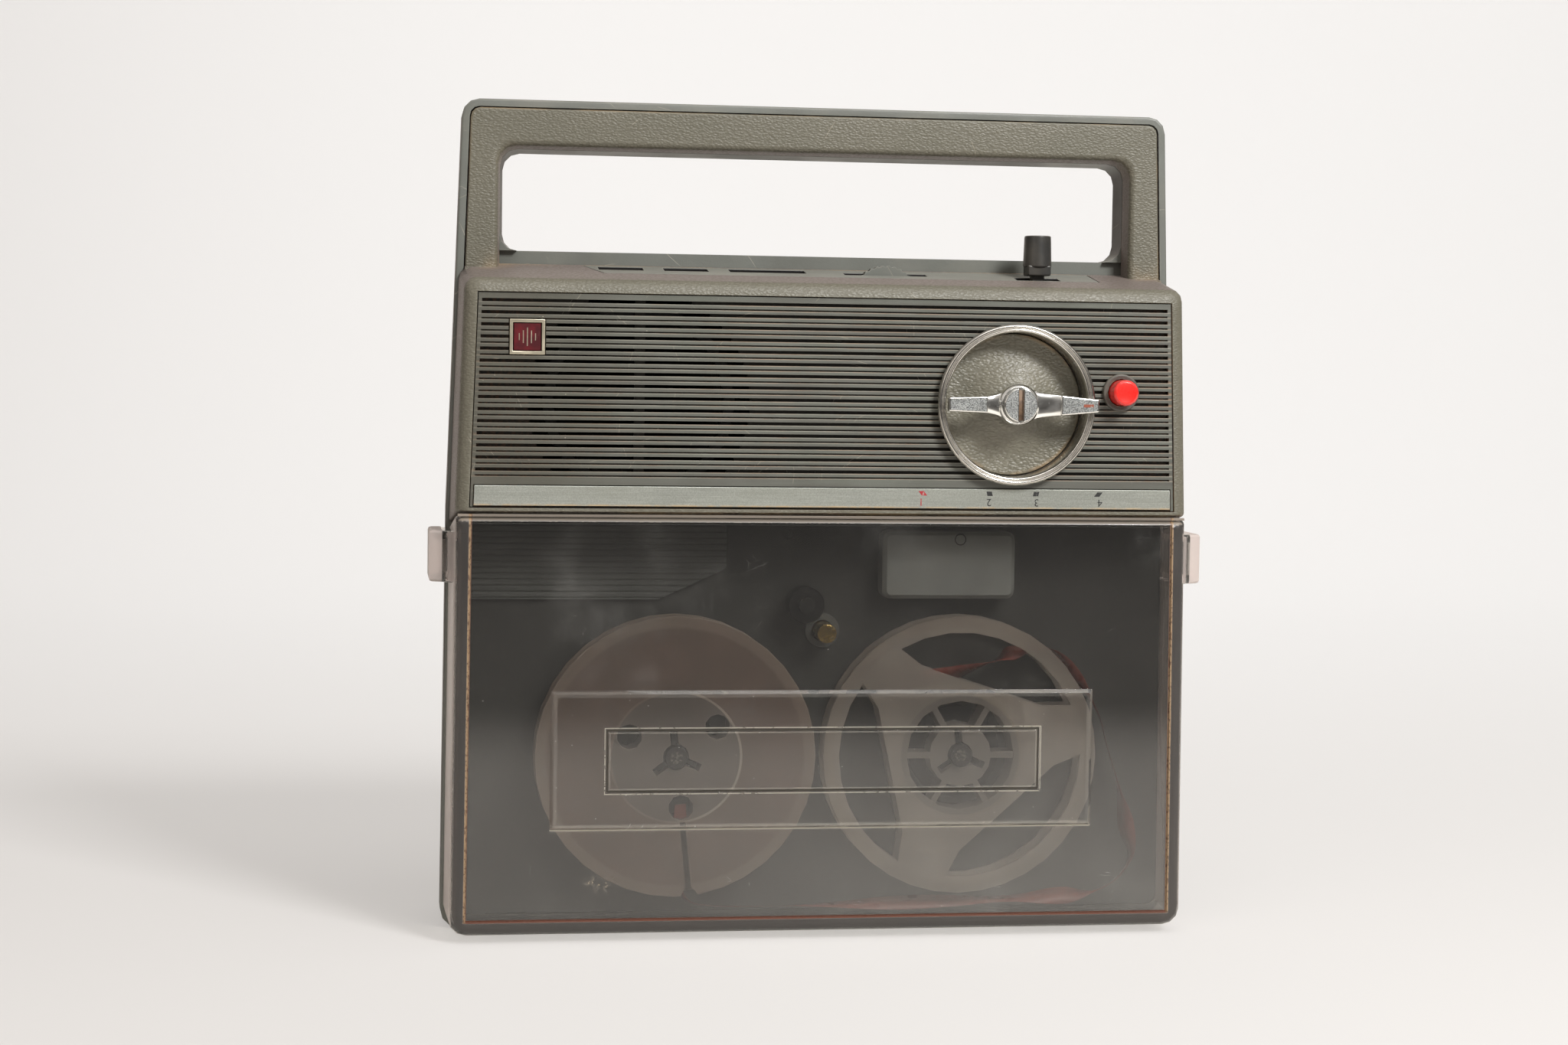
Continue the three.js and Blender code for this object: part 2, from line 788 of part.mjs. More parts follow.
function rearShell() {
  const rim = {
    foot: 0,
    top: crownHeight,
    footRadius: footCornerRadius,
    topRadius: crownCornerRadius,
    waist: true,
  };
  const handleRound = quarterRound(handleEdgeRadius).reverse();
  const handleRings = [
    caseRing(rimFront, { ...rim, foot: rimEdge, top: crownHeight - rimEdge, inset: rimEdge }),
    caseRing(rimFront + rimEdge, rim),
    ...handleRound.map(({ back, inset }) =>
      caseRing(handleDepth - back, { ...rim, foot: inset, top: crownHeight - inset, inset }),
    ),
  ];
  const trayStart = handleDepth - handleEdgeRadius;
  const trayRings = [
    caseRing(trayStart, { ...rim, top: shoulderHeight }),
    ...quarterRound(backEdgeRadius)
      .reverse()
      .map(({ back, inset }) =>
        caseRing(bodyDepth - back, {
          ...rim,
          foot: inset,
          top: shoulderHeight - inset,
          inset: backDraft + inset,
        }),
      ),
  ];
  let shell = loft(handleRings).add(loft(trayRings));
  const inner = { foot: shellWall, inset: rimWidth, footRadius: footCornerRadius - shellWall, waist: true };
  const mouthFront = rimFront - overrun;
  const innerBack = bodyDepth - shellWall;
  const innerEdge = backEdgeRadius - shellWall;
  shell = shell.subtract(
    loft([
      caseRing(
        mouthFront,
        { ...inner, top: crownHeight - rimWidth, topRadius: crownCornerRadius - rimWidth },
      ),
      caseRing(
        handleInsetDepth,
        { ...inner, top: crownHeight - rimWidth, topRadius: crownCornerRadius - rimWidth },
      ),
    ]),
  );
  shell = shell.subtract(
    loft([
      caseRing(mouthFront, { ...inner, top: shoulderHeight }),
      caseRing(mouthDepth, { ...inner, top: shoulderHeight }),
    ]),
  );
  shell = shell.subtract(
    loft([
      caseRing(handleInsetDepth - overrun, { ...inner, top: shoulderHeight - lipDrop }),
      caseRing(trayStart, { ...inner, top: shoulderHeight - lipDrop }),
      ...quarterRound(innerEdge)
        .reverse()
        .map(({ back, inset }) =>
          caseRing(innerBack - back, {
            ...inner,
            foot: shellWall + inset,
            top: shoulderHeight - lipDrop - inset,
            inset: shellWall + backDraft + inset,
          }),
        ),
    ]),
  );
  shell = shell.subtract(
    block(
      [-gripBackHalfWidth, gripBackHalfWidth],
      [mouthDepth + lipWall, innerBack - innerEdge],
      [shoulderHeight - lipDrop - overrun, shoulderHeight - shellWall],
    ),
  );
  shell = shell.subtract(gripCutter(mouthFront, handleDepth + overrun, shoulderHeight, 0));
  shell = shell.subtract(
    block([doorLeft, doorRight], [innerBack - overrun, bodyDepth + overrun], [doorFoot, doorTop]),
  );
  const doorPinHalf = doorPinRadius + seatGap;
  for (const [left, right] of [
    [doorLeft - doorPinLength - seatGap, doorLeft + overrun],
    [doorRight - overrun, doorRight + doorPinLength + seatGap],
  ]) {
    shell = shell.subtract(crossRod(doorPivotDepth, doorPivotHeight, doorPinHalf, [left, right]));
    shell = shell.subtract(
      block(
        [left, right],
        [innerBack - overrun, doorPivotDepth],
        [doorPivotHeight - doorPinHalf, doorPivotHeight + doorPinHalf],
      ),
    );
  }
  for (const [x, height] of columnPlaces) {
    shell = shell.add(rod(
      x,
      height,
      columnRadius,
      [deckBossBack + seatGap, innerBack + shellWall / 2],
      coarseSides,
    ));
    shell = shell.subtract(
      rod(x, height, screwRadius + seatGap, [mouthFront, bodyDepth + overrun], coarseSides),
    );
    shell = shell.subtract(
      rod(x, height, screwHeadRadius + seatGap, [bodyDepth - screwSink, bodyDepth + overrun], coarseSides),
    );
  }
  for (const x of [boardLeft + standoffInset, boardRight - standoffInset]) {
    for (const height of [boardFoot + standoffInset, boardTop - standoffInset]) {
      shell = shell.add(
        rod(
          x,
          height,
          standoffRadius,
          [boardFront + boardThickness + seatGap, innerBack + shellWall / 2],
          coarseSides,
        ),
      );
    }
  }
  for (const side of sidesOfCase) {
    const [left, right] = knuckleSpan(side);
    shell = shell.subtract(
      block(
        [left - seatGap, right + seatGap],
        [rimFront - overrun, hingeDepth + hingeRadius + seatGap],
        [-overrun, coverFoot + hingeRadius + seatGap],
      ),
    );
    for (const span of earSpans(side)) shell = shell.add(crossRod(hingeDepth, coverFoot, hingeRadius, span));
    shell = shell.subtract(
      crossRod(hingeDepth, coverFoot, hingePinRadius + seatGap, [
        left - seatGap - earLength + earWall,
        right + seatGap + earLength - earWall,
      ]),
    );
  }
  return shell;
}

// The grip opening, which narrows towards the back. An edge radius flares its front.
function gripCutter(front, back, foot, edge) {
  const ringAt = (depth, flare) => {
    const share = (depth - rimFront) / (handleDepth - rimFront);
    const half = lerp(gripFrontHalfWidth, gripBackHalfWidth, share) + flare;
    const top = lerp(gripFrontTop, gripBackTop, share) + flare;
    return boxRing(depth, [-half, half], [foot, top], gripCornerRadius);
  };
  if (!edge) return loft([ringAt(front, 0), ringAt(back, 0)]);
  return loft([
    ringAt(front, edge + (rimFront - front)),
    ...quarterRound(edge).map(({ back: behind, inset }) => ringAt(rimFront - seatGap + behind, inset)),
    ringAt(back, 0),
  ]);
}

function frontShell() {
  const housingBack = rimFront - seatGap;
  const corner = { footRadius: shellWall / 2, topRadius: bezelCornerRadius };
  const housing = loft([
    ...quarterRound(bezelRadius, cornerSteps).map(({ back, inset }) =>
      caseRing(back, {
        ...corner,
        foot: junctionAt(back),
        top: deckHeightAt(back) - inset,
        inset: stepAt(back) + inset,
      }),
    ),
    caseRing(housingBack, {
      ...corner,
      foot: junctionAt(housingBack),
      top: deckHeightAt(housingBack),
      inset: stepAt(housingBack),
    }),
  ]);
  const lipInset = rimWidth + seatGap;
  const lipBack = mouthDepth - seatGap;
  const lip = loft([
    caseRing(housingBack - overrun, {
      foot: waistHeight + shellWall,
      top: deckHeightAt(housingBack - overrun),
      inset: lipInset,
    }),
    caseRing(lipBack, { foot: waistHeight + shellWall, top: deckHeightAt(lipBack), inset: lipInset }),
  ]);
  const archTop = crownHeight - lipInset;
  const archFoot = deckFrontHeight - shellWall;
  const arch = {
    foot: archFoot,
    top: archTop,
    inset: lipInset,
    topRadius: crownCornerRadius - rimWidth,
  };
  let handle = loft([
    caseRing(housingBack, { ...arch, top: archTop - rimEdge, inset: lipInset + rimEdge }),
    caseRing(housingBack + rimEdge, arch),
    caseRing(handleInsetDepth - seatGap, arch),
  ]);
  handle = handle.subtract(
    gripCutter(
      housingBack - overrun,
      handleInsetDepth + overrun,
      archFoot - gripCornerRadius * 2,
      gripEdgeRadius,
    ),
  );
  const cavityInset = lipInset + shellWall;
  let shell = joined([housing, lip, handle]);
  const cavityRing = (depth, foot) =>
    caseRing(depth, { foot, top: deckHeightAt(depth) - shellWall, inset: cavityInset });
  shell = shell.subtract(
    loft([
      cavityRing(frontWall, junctionAt(frontWall) + shellWall),
      cavityRing(mouthDepth + overrun, junctionAt(mouthDepth) + shellWall),
    ]),
  );
  const opening = { foot: grilleFoot, top: grilleCrown, inset: frontStep + bezelWidth };
  const ledge = {
    foot: grilleFoot + grilleLedge,
    top: grilleCrown - grilleLedge,
    inset: frontStep + bezelWidth + grilleLedge,
  };
  const grilleBack = grilleFace + grilleThickness + seatGap;
  shell = shell.subtract(loft([caseRing(-overrun, opening), caseRing(grilleBack, opening)]));
  shell = shell.subtract(loft([caseRing(-overrun, ledge), caseRing(frontWall + overrun, ledge)]));
  return deckOpenings(shell.subtract(plateBlank(seatGap, [-plateThickness - seatGap, overrun])));
}

// The control plate's outline, with its slanted left end.
function plateBlank(margin, span) {
  return deckPiece(
    shapeOf([
      [plateLeft - margin + plateChamfer, plateFront - margin],
      [plateRight + margin, plateFront - margin],
      [plateRight + margin, plateBack + margin],
      [plateLeft - margin, plateBack + margin],
    ]),
    span,
  );
}

// Cuts the jack windows, the thumbwheel's slot and the slide switch's slot.
function deckOpenings(piece) {
  const through = [-shellWall - plateThickness - overrun, overrun];
  const windows = jackLefts.map((left, i) => [left, jackRights[i], jackWindowFront, jackWindowBack]);
  const wheelBack = wheelFront + wheelThickness;
  windows.push([
    wheelX - wheelSlotHalf,
    wheelX + wheelSlotHalf,
    wheelFront - wheelSlotMargin,
    wheelBack + wheelSlotMargin,
  ]);
  const stemHalf = knobStemDepth / 2 + knobSlotMargin;
  windows.push([knobX - knobSlotHalf, knobX + knobSlotHalf, knobDepth - stemHalf, knobDepth + stemHalf]);
  return windows.reduce(
    (rest, [left, right, front, back]) => rest.subtract(deckBlock([left, right], [front, back], through)),
    piece,
  );
}

function controlPlate() {
  return deckOpenings(plateBlank(0, [-plateThickness, 0]));
}

function grille() {
  const panel = {
    foot: grilleFoot + seatGap,
    top: grilleCrown - seatGap,
    inset: frontStep + bezelWidth + seatGap,
  };
  const back = grilleFace + grilleThickness;
  let plate = loft([caseRing(grilleFace, panel), caseRing(back, panel)]);
  const grooves = [];
  for (let pair = 0; pair < ribPairs; pair += 1) {
    const wide = ribTop - (pair + 0.25) * ribPitch;
    const thin = wide - ribPitch / 2;
    const half = halfWidthAt(wide) - panel.inset - ribMargin;
    grooves.push(
      block(
        [-half, half],
        [-overrun, grilleFace + wideGrooveDepth],
        [wide - wideGroove / 2, wide + wideGroove / 2],
      ),
      block(
        [-half, half],
        [-overrun, grilleFace + thinGrooveDepth],
        [thin - thinGroove / 2, thin + thinGroove / 2],
      ),
    );
    const rise = wide - speakerHeight;
    const reach = Math.sqrt(Math.max(slotFieldRadius ** 2 - rise ** 2, 0));
    if (reach < slotBar * 2) continue;
    for (const side of sidesOfCase) {
      const ends = [speakerX + (side * slotBar) / 2, speakerX + side * reach].sort((a, b) => a - b);
      grooves.push(block(ends, [0, back + overrun], [wide - wideGroove / 2, wide + wideGroove / 2]));
    }
  }
  plate = grooves.reduce((rest, groove) => rest.subtract(groove), plate);
  const pocketHalf = badgeSize / 2 + seatGap;
  const badgeBack = grilleFace - badgeProud + badgeThickness;
  plate = plate.subtract(
    block(
      [badgeX - pocketHalf, badgeX + pocketHalf],
      [-overrun, badgeBack + seatGap],
      [badgeHeight - pocketHalf, badgeHeight + pocketHalf],
    ),
  );
  plate = plate.subtract(
    rod(selectorX, selectorHeight, ringBarrelRadius + seatGap, [-overrun, back + overrun], fineSides),
  );
  plate = plate.add(buttonCollar()).subtract(
    rod(buttonX, buttonHeight, buttonRadius + seatGap, [-2 * overrun, back + 2 * overrun]),
  );
  const stripPocket = {
    foot: grilleFoot - overrun,
    top: stripFoot + stripHeight + seatGap,
    inset: stripSideInset() - seatGap,
  };
  return plate.subtract(
    loft([caseRing(-overrun, stripPocket), caseRing(grilleFace + stripThickness, stripPocket)]),
  );
}

function stripSideInset() {
  return frontStep + bezelWidth + seatGap + stripInset;
}

function silverStrip() {
  const strip = { foot: stripFoot, top: stripFoot + stripHeight, inset: stripSideInset() };
  const front = grilleFace - stripThickness / 2;
  return loft([caseRing(front, strip), caseRing(front + stripThickness, strip)]);
}

function square(centreX, centreZ, half, [front, back]) {
  return block([centreX - half, centreX + half], [front, back], [centreZ - half, centreZ + half]);
}

function badgeFrame() {
  const front = grilleFace - badgeProud;
  const frame = square(badgeX, badgeHeight, badgeSize / 2, [front, front + badgeThickness]);
  const window = badgeSize / 2 - badgeRim;
  return frame.subtract(square(
    badgeX,
    badgeHeight,
    window,
    [front - overrun, front + badgeThickness + overrun],
  ));
}

function badgePlate() {
  const half = badgeSize / 2 - badgeRim - seatGap;
  const front = grilleFace - badgeProud / 2;
  return square(badgeX, badgeHeight, half, [front, grilleFace - badgeProud + badgeThickness]);
}

// Selector.

function selectorRing() {
  const lip = (ringRadius - ringBoreRadius) / 3;
  return revolve(
    selectorX,
    selectorHeight,
    [
      [ringRadius, grilleFace - seatGap],
      [ringRadius, ringFront + lip],
      [ringRadius - lip, ringFront],
      [ringBoreRadius + lip / 2, ringFront],
      [ringBoreRadius, ringFront + lip / 2],
      [ringBoreRadius, ringBack],
      [ringBarrelRadius, ringBack],
      [ringBarrelRadius, grilleFace - seatGap],
    ],
    fineSides,
  );
}

function selectorDish() {
  const edge = ringBoreRadius - seatGap;
  const bore = selectorShaftRadius + seatGap;
  return revolve(
    selectorX,
    selectorHeight,
    [
      [bore, dishBack],
      [bore, dishCentreDepth],
      [leverHubRadius, dishCentreDepth],
      [
        lerp(leverHubRadius, edge, dishFlankShares[0]),
        lerp(dishCentreDepth, dishEdgeDepth, dishFlankShares[1]),
      ],
      [lerp(leverHubRadius, edge, dishFlatShare), dishEdgeDepth],
      [edge, dishEdgeDepth - seatGap],
      [edge, dishBack],
    ],
    fineSides,
  );
}

// One arm of the lever: its side view, cut to its plan.
function leverArm(side, reach) {
  const neck = lerp(leverHubRadius, reach, leverNeckShare);
  const neckHalf = (leverRootWidth / 2) * leverNeckWidthShare;
  const flat = leverHubRadius - leverHubChamfer;
  const sideView = [
    [0, leverHubBack],
    [0, leverFront],
    [flat, leverNeckFront],
    [neck - leverHubRadius * leverNeckSlopeShare, leverNeckFront],
    [neck, leverFront],
    [reach, leverFront + seatGap],
    [reach, leverBack],
    [leverHubRadius + leverHubChamfer, leverBack],
    [flat, leverHubBack],
  ];
  const plan = shapeOf([
    [0, -leverRootWidth / 2],
    [side * neck, -neckHalf],
    [side * reach, -leverTipWidth / 2],
    [side * reach, leverTipWidth / 2],
    [side * neck, neckHalf],
    [0, leverRootWidth / 2],
  ]);
  const profile = side > 0 ? sideView : mirrored(sideView);
  const body = tower(shapeOf(profile), [-leverRootWidth, leverRootWidth]);
  const cut = slab(plan, [leverFront - overrun, leverHubBack + overrun]);
  return body.intersect(cut);
}

function selectorLever() {
  const hub = revolve(0, 0, [
    [0, leverFront],
    [leverHubRadius - leverHubChamfer, leverFront],
    [leverHubRadius, leverFront + leverHubChamfer],
    [leverHubRadius, leverHubBack],
    [0, leverHubBack],
  ]);
  const lever = joined([hub, leverArm(1, leverPointerReach), leverArm(-1, leverTailReach)]);
  const bored = lever.subtract(
    rod(0, 0, selectorShaftRadius + seatGap, [leverFront + shellWall, leverHubBack + overrun], coarseSides),
  );
  const pointerEnd = leverPointerReach - leverPointerMargin;
  const pointerHalf = (leverTipWidth / 2) * leverPointerShare;
  const pointer = block(
    [pointerEnd - leverTipWidth, pointerEnd],
    [leverFront - overrun, leverFront + 2 * seatGap],
    [-pointerHalf / 2, pointerHalf / 2],
  );
  return placed(bored.subtract(pointer), selectorX, selectorHeight);
}

// Moves a solid that was made round the origin to its place on the front.
function placed(made, x, height) {
  const mesh = made.getMesh();
  const position = Float32Array.from(mesh.vertProperties);
  for (let i = 0; i < position.length; i += 3) {
    position[i] += x;
    position[i + 2] += height;
  }
  return new wasm.Manifold(new wasm.Mesh(
    { numProp: 3, vertProperties: position, triVerts: mesh.triVerts },
  ));
}

function selectorCap() {
  const edge = hubSlotDepth;
  const cap = revolve(0, 0, [
    [0, hubCapFront],
    [hubCapRadius - edge, hubCapFront],
    [hubCapRadius, hubCapFront + edge],
    [hubCapRadius, hubCapBack],
    [0, hubCapBack],
  ]);
  const slot = block(
    [-hubSlotWidth / 2, hubSlotWidth / 2],
    [hubCapFront - overrun, hubCapFront + hubSlotDepth],
    [-hubCapRadius * 2, hubCapRadius * 2],
  );
  return placed(cap.subtract(slot), selectorX, selectorHeight);
}

// The shaft, with the cam that is moulded on it.
function selectorShaft() {
  const shaft = rod(selectorX, selectorHeight, selectorShaftRadius, [
    leverFront + shellWall + seatGap,
    selectorShaftBack,
  ]);
  const disc = rod(selectorX, selectorHeight, camRadius, [camFront, camBack]);
  const lobe = rod(selectorX - camLobe, selectorHeight, camRadius - camLobe / 2, [camFront, camBack]);
  return joined([shaft, disc, lobe]);
}

// Record button.

function recordButton() {
  return revolve(buttonX, buttonHeight, [
    [0, buttonFront + buttonCrown / 2],
    [buttonRadius / 2, buttonFront + buttonCrown / 3],
    [buttonRadius - buttonCrown, buttonFront],
    [buttonRadius, buttonFront + buttonCrown],
    [buttonRadius, buttonFlangeFront],
    [buttonRadius + buttonFlange, buttonFlangeFront],
    [buttonRadius + buttonFlange, buttonFlangeBack],
    [buttonStemRadius, buttonFlangeBack],
    [buttonStemRadius, buttonStemBack],
    [0, buttonStemBack],
  ]);
}

// The collar that is moulded on the grille round the button.
function buttonCollar() {
  return revolve(buttonX, buttonHeight, [
    [0, collarFront],
    [collarRadius - collarEdge, collarFront],
    [collarRadius, collarFront + collarEdge],
    [collarRadius, collarBack],
    [0, collarBack],
  ]);
}

class Helix extends THREE.Curve {
  constructor(radius, height, turns) {
    super();
    Object.assign(this, { radius, height, turns });
  }

  getPoint(share, target = new THREE.Vector3()) {
    const angle = share * this.turns * fullTurn;
    return target.set(Math.cos(angle) * this.radius, share * this.height, Math.sin(angle) * this.radius);
  }
}

function recordSpring() {
  const front = buttonFlangeBack + seatGap + springWire;
  const back = recordSwitchFront - seatGap - springWire;
  const wire = new THREE.Shape();
  wire.absarc(0, 0, springWire, 0, fullTurn);
  const geometry = new THREE.ExtrudeGeometry(wire, {
    steps: springTurns * 8,
    curveSegments: 3,
    bevelEnabled: false,
    extrudePath: new Helix(springRadius, back - front, springTurns),
  });
  geometry.translate(buttonX, front, buttonHeight);
  return solid(geometry);
}

function recordSwitch() {
  const body = block(
    [buttonX - recordSwitchHalf, buttonX + recordSwitchHalf],
    [recordSwitchFront, recordSwitchBack],
    [buttonHeight - recordSwitchHalf, buttonHeight + recordSwitchHalf],
  );
  const well = rod(
    buttonX,
    buttonHeight,
    buttonStemRadius + seatGap,
    [recordSwitchFront - overrun, recordSwitchBack - overrun],
    coarseSides,
  );
  const wallX = halfWidthAt(buttonHeight) - rimWidth - shellWall - 2 * seatGap;
  const plate = block(
    [buttonX, wallX],
    [recordSwitchBack - recordSwitchSheet, recordSwitchBack],
    [buttonHeight - recordSwitchHalf / 2, buttonHeight + recordSwitchHalf / 2],
  );
  return body.subtract(well).add(plate);
}

// Controls on the top deck.

const wheelHeight = deckHeightAt(wheelFront + wheelThickness / 2) + wheelProud - wheelRadius;

function volumeWheel() {
  const points = [];
  for (let tooth = 0; tooth < wheelTeeth; tooth += 1) {
    for (const [share, radius] of [
      [0, wheelRadius - wheelTooth],
      [0.5, wheelRadius],
    ]) {
      const angle = ((tooth + share) / wheelTeeth) * fullTurn;
      points.push([wheelX + radius * Math.cos(angle), wheelHeight + radius * Math.sin(angle)]);
    }
  }
  const disc = slab(shapeOf(points), [wheelFront, wheelFront + wheelThickness]);
  const shaft = rod(wheelX, wheelHeight, controlShaftRadius, [
    wheelFront + wheelThickness / 2,
    controlBoreBack - seatGap,
  ]);
  return disc.add(shaft);
}

// The volume control with its mounting plate, which hangs from the underside of the deck.
function volumeControl() {
  const top = deckHeightAt(bracketFront) - shellWall - seatGap;
  const plate = block(
    [wheelX - bracketHalfWidth, wheelX + bracketHalfWidth],
    [bracketFront, bracketFront + bracketSheet],
    [top - bracketDrop, top],
  );
  const body = rod(wheelX, wheelHeight, controlRadius, [bracketFront + bracketSheet / 2, controlBack]);
  return plate.add(body).subtract(
    rod(wheelX, wheelHeight, controlShaftRadius + seatGap, [bracketFront - overrun, controlBoreBack]),
  );
}

function jackBlock() {
  const left = jackLefts[0] - jackBlockMargin;
  const right = jackRights[jackRights.length - 1] + jackBlockMargin;
  const top = -shellWall - seatGap;
  const front = jackWindowFront - jackBlockMargin;
  const back = jackWindowBack + jackBlockMargin / 2;
  let body = deckBlock([left, right], [front, back], [top - jackBlockDepth, top]);
  jackLefts.forEach((windowLeft, i) => {
    const centreX = (windowLeft + jackRights[i]) / 2;
    const centreDepth = (jackWindowFront + jackWindowBack) / 2;
    const bore = new THREE.Shape();
    bore.absarc(centreX, centreDepth, jackBoreRadius, 0, fullTurn);
    body = body.subtract(deckPiece(bore, [top - jackBoreDepth, top + overrun]));
  });
  return body;
}

function switchKnob() {
  const cap = uprightRod(knobX, knobDepth, knobFootRadius, [knobFoot, knobTop], sides, knobTopRadius);
  const stem = block(
    [knobX - knobStemWidth / 2, knobX + knobStemWidth / 2],
    [knobDepth - knobStemDepth / 2, knobDepth + knobStemDepth / 2],
    [knobStemFoot, knobFoot + overrun],
  );
  return cap.add(stem);
}

function slideSwitch() {
  const switchBodyTop = deckHeightAt(knobDepth - switchBodyHalfDepth) - shellWall - seatGap;
  const body = block(
    [knobX - switchBodyHalfWidth, knobX + switchBodyHalfWidth],
    [knobDepth - switchBodyHalfDepth, knobDepth + switchBodyHalfDepth],
    [switchBodyFoot, switchBodyTop],
  );
  return body.subtract(
    block(
      [knobX - knobSlotHalf, knobX + knobSlotHalf],
      [knobDepth - knobStemDepth / 2 - seatGap, knobDepth + knobStemDepth / 2 + seatGap],
      [knobStemFoot - seatGap, switchBodyTop + overrun],
    ),
  );
}

// Speaker.

function speakerFrame() {
  return revolve(speakerX, speakerHeight, [
    [0, basketBack - basketWall],
    [basketBackRadius - basketWall, basketBack - basketWall],
    [speakerRadius - speakerFlange - basketWall * 2, speakerFront + speakerFlange],
    [speakerRadius - speakerFlange - basketWall * 2, speakerFront],
    [speakerRadius, speakerFront],
    [speakerRadius, speakerFront + speakerFlange],
    [speakerRadius - speakerFlange, speakerFront + speakerFlange],
    [basketBackRadius, basketBack],
    [magnetRadius, basketBack],
    [magnetRadius, magnetBack],
    [0, magnetBack],
  ]);
}

function speakerCone() {
  const edge = speakerRadius - speakerFlange - basketWall * 2 - seatGap;
  const throat = basketBackRadius / 2;
  const front = speakerFront + seatGap;
  return revolve(speakerX, speakerHeight, [
    [0, front + coneDepth - coneThickness * 2],
    [throat, front + coneDepth],
    [edge - coneThickness * 2, front],
    [edge, front],
    [edge, front + coneThickness],
    [throat, front + coneDepth + coneThickness],
    [0, front + coneDepth],
  ]);
}

// Cover.

function coverRing(depth, inset, extra = {}) {
  return caseRing(depth, {
    foot: coverFoot + inset,
    top: coverTopAt(depth) - inset,
    inset: stepAt(depth) + inset,
    footRadius: coverFootRadius,
    topRadius: coverEdgeRadius / 2,
    ...extra,
  });
}

function grooveFrame(outer, inner, [front, back]) {
  return loft([outer(front), outer(back)]).subtract(loft([inner(front - overrun), inner(back + overrun)]));
}

function smokyCover() {
  let cover = loft([
    ...quarterRound(coverEdgeRadius, cornerSteps).map(({ back, inset }) => coverRing(back, inset)),
    coverRing(coverBack, 0),
  ]);
  const inner = { footRadius: coverFootRadius - coverWall, topRadius: 0 };
  const openTop = { ...inner, top: waistHeight + overrun };
  cover = cover.subtract(
    loft([
      coverRing(coverPlate, coverWall + seatGap, inner),
      coverRing(coverBack + overrun, coverWall, inner),
    ]),
  );
  cover = cover.subtract(
    loft([
      coverRing(coverLipDepth, coverWall + seatGap, openTop),
      coverRing(coverBack + overrun, coverWall, openTop),
    ]),
  );
  const panelAt = (depth, spread) =>
    boxRing(
      depth,
      [-panelHalfWidth - spread, panelHalfWidth + spread],
      [panelFoot - spread, panelTop + spread],
    );
  cover = cover.add(loft([panelAt(-panelRise, -panelRise / 2), panelAt(coverPlate / 2, panelRise)]));
  const flatAt = (spread) => (depth) =>
    coverRing(depth, coverGrooveInset + spread, {
      inset: frontStep + coverGrooveInset + spread,
      top: coverTopAt(0) - (coverGrooveInset + spread) / 2,
      footRadius: 0,
      topRadius: 0,
    });
  cover = cover.subtract(grooveFrame(
    flatAt(0),
    flatAt(coverGrooveWidth),
    [-panelRise / 2, coverGrooveDepth],
  ));
  const plaqueAt = (spread) => (depth) =>
    boxRing(
      depth,
      [-plaqueHalfWidth - spread, plaqueHalfWidth + spread],
      [plaqueFoot - spread, plaqueTop + spread],
    );
  cover = cover.subtract(
    grooveFrame(
      plaqueAt(0),
      plaqueAt(-plaqueGroove),
      [-panelRise - overrun, plaqueGrooveDepth - panelRise],
    ),
  );
  for (const side of sidesOfCase) cover = pullTab(cover, side);
  for (const side of sidesOfCase) cover = coverKnuckle(cover, side);
  return cover;
}

// A hollow pull tab that flares from the cover's side and reaches back past the case's rim.
function pullTab(cover, side) {
  const wallX = halfWidthAt(tabTop) - stepAt(tabShoulder);
  const clearX = halfWidthAt(tabFoot) + 2 * seatGap;
  const root = wallX - coverWall / 2;
  const outline = [
    [root, tabFront],
    [lerp(wallX, tabReach, 0.4), lerp(tabFront, tabShoulder, 0.6)],
    [tabReach, tabShoulder],
    [tabReach, tabBack],
    [clearX, tabBack],
    [clearX, coverBack],
    [root, coverBack],
  ];
  const hollow = [
    [wallX + tabWall / 2, tabShoulder],
    [tabReach - tabWall, tabShoulder + tabWall],
    [tabReach - tabWall, tabBack + overrun],
    [clearX - seatGap, tabBack + overrun],
    [clearX - seatGap, coverBack],
    [wallX + tabWall / 2, coverBack],
  ];
  const pick = side > 0 ? (points) => points : mirrored;
  const wing = tower(shapeOf(pick(outline)), [tabFoot, tabTop], tabRound);
  const pocket = tower(shapeOf(pick(hollow)), [tabFoot + tabWall + tabRound, tabTop - tabWall - tabRound]);
  const lining = coverRing(coverPlate, coverWall + seatGap);
  const inside = loft([lining, coverRing(coverBack + overrun, coverWall)]);
  return cover.add(wing.subtract(pocket).subtract(inside));
}

function coverKnuckle(cover, side) {
  const span = knuckleSpan(side);
  let made = cover;
  for (const [left, right] of earSpans(side)) {
    made = made.subtract(
      block(
        [left - seatGap, right + seatGap],
        [hingeDepth - hingeRadius - seatGap, coverBack + overrun],
        [coverFoot - overrun, coverFoot + hingeRadius + seatGap],
      ),
    );
  }
  const knuckle = crossRod(hingeDepth, coverFoot, hingeRadius, span);
  const pins = crossRod(
    hingeDepth,
    coverFoot,
    hingePinRadius,
    [span[0] - hingePinLength, span[1] + hingePinLength],
  );
  return joined([made, knuckle, pins]);
}

// Deck and mechanism.

const reelPlaces = { takeup: -reelX, supply: reelX };
const motorPostAngles = [0, rightAngle, -rightAngle];

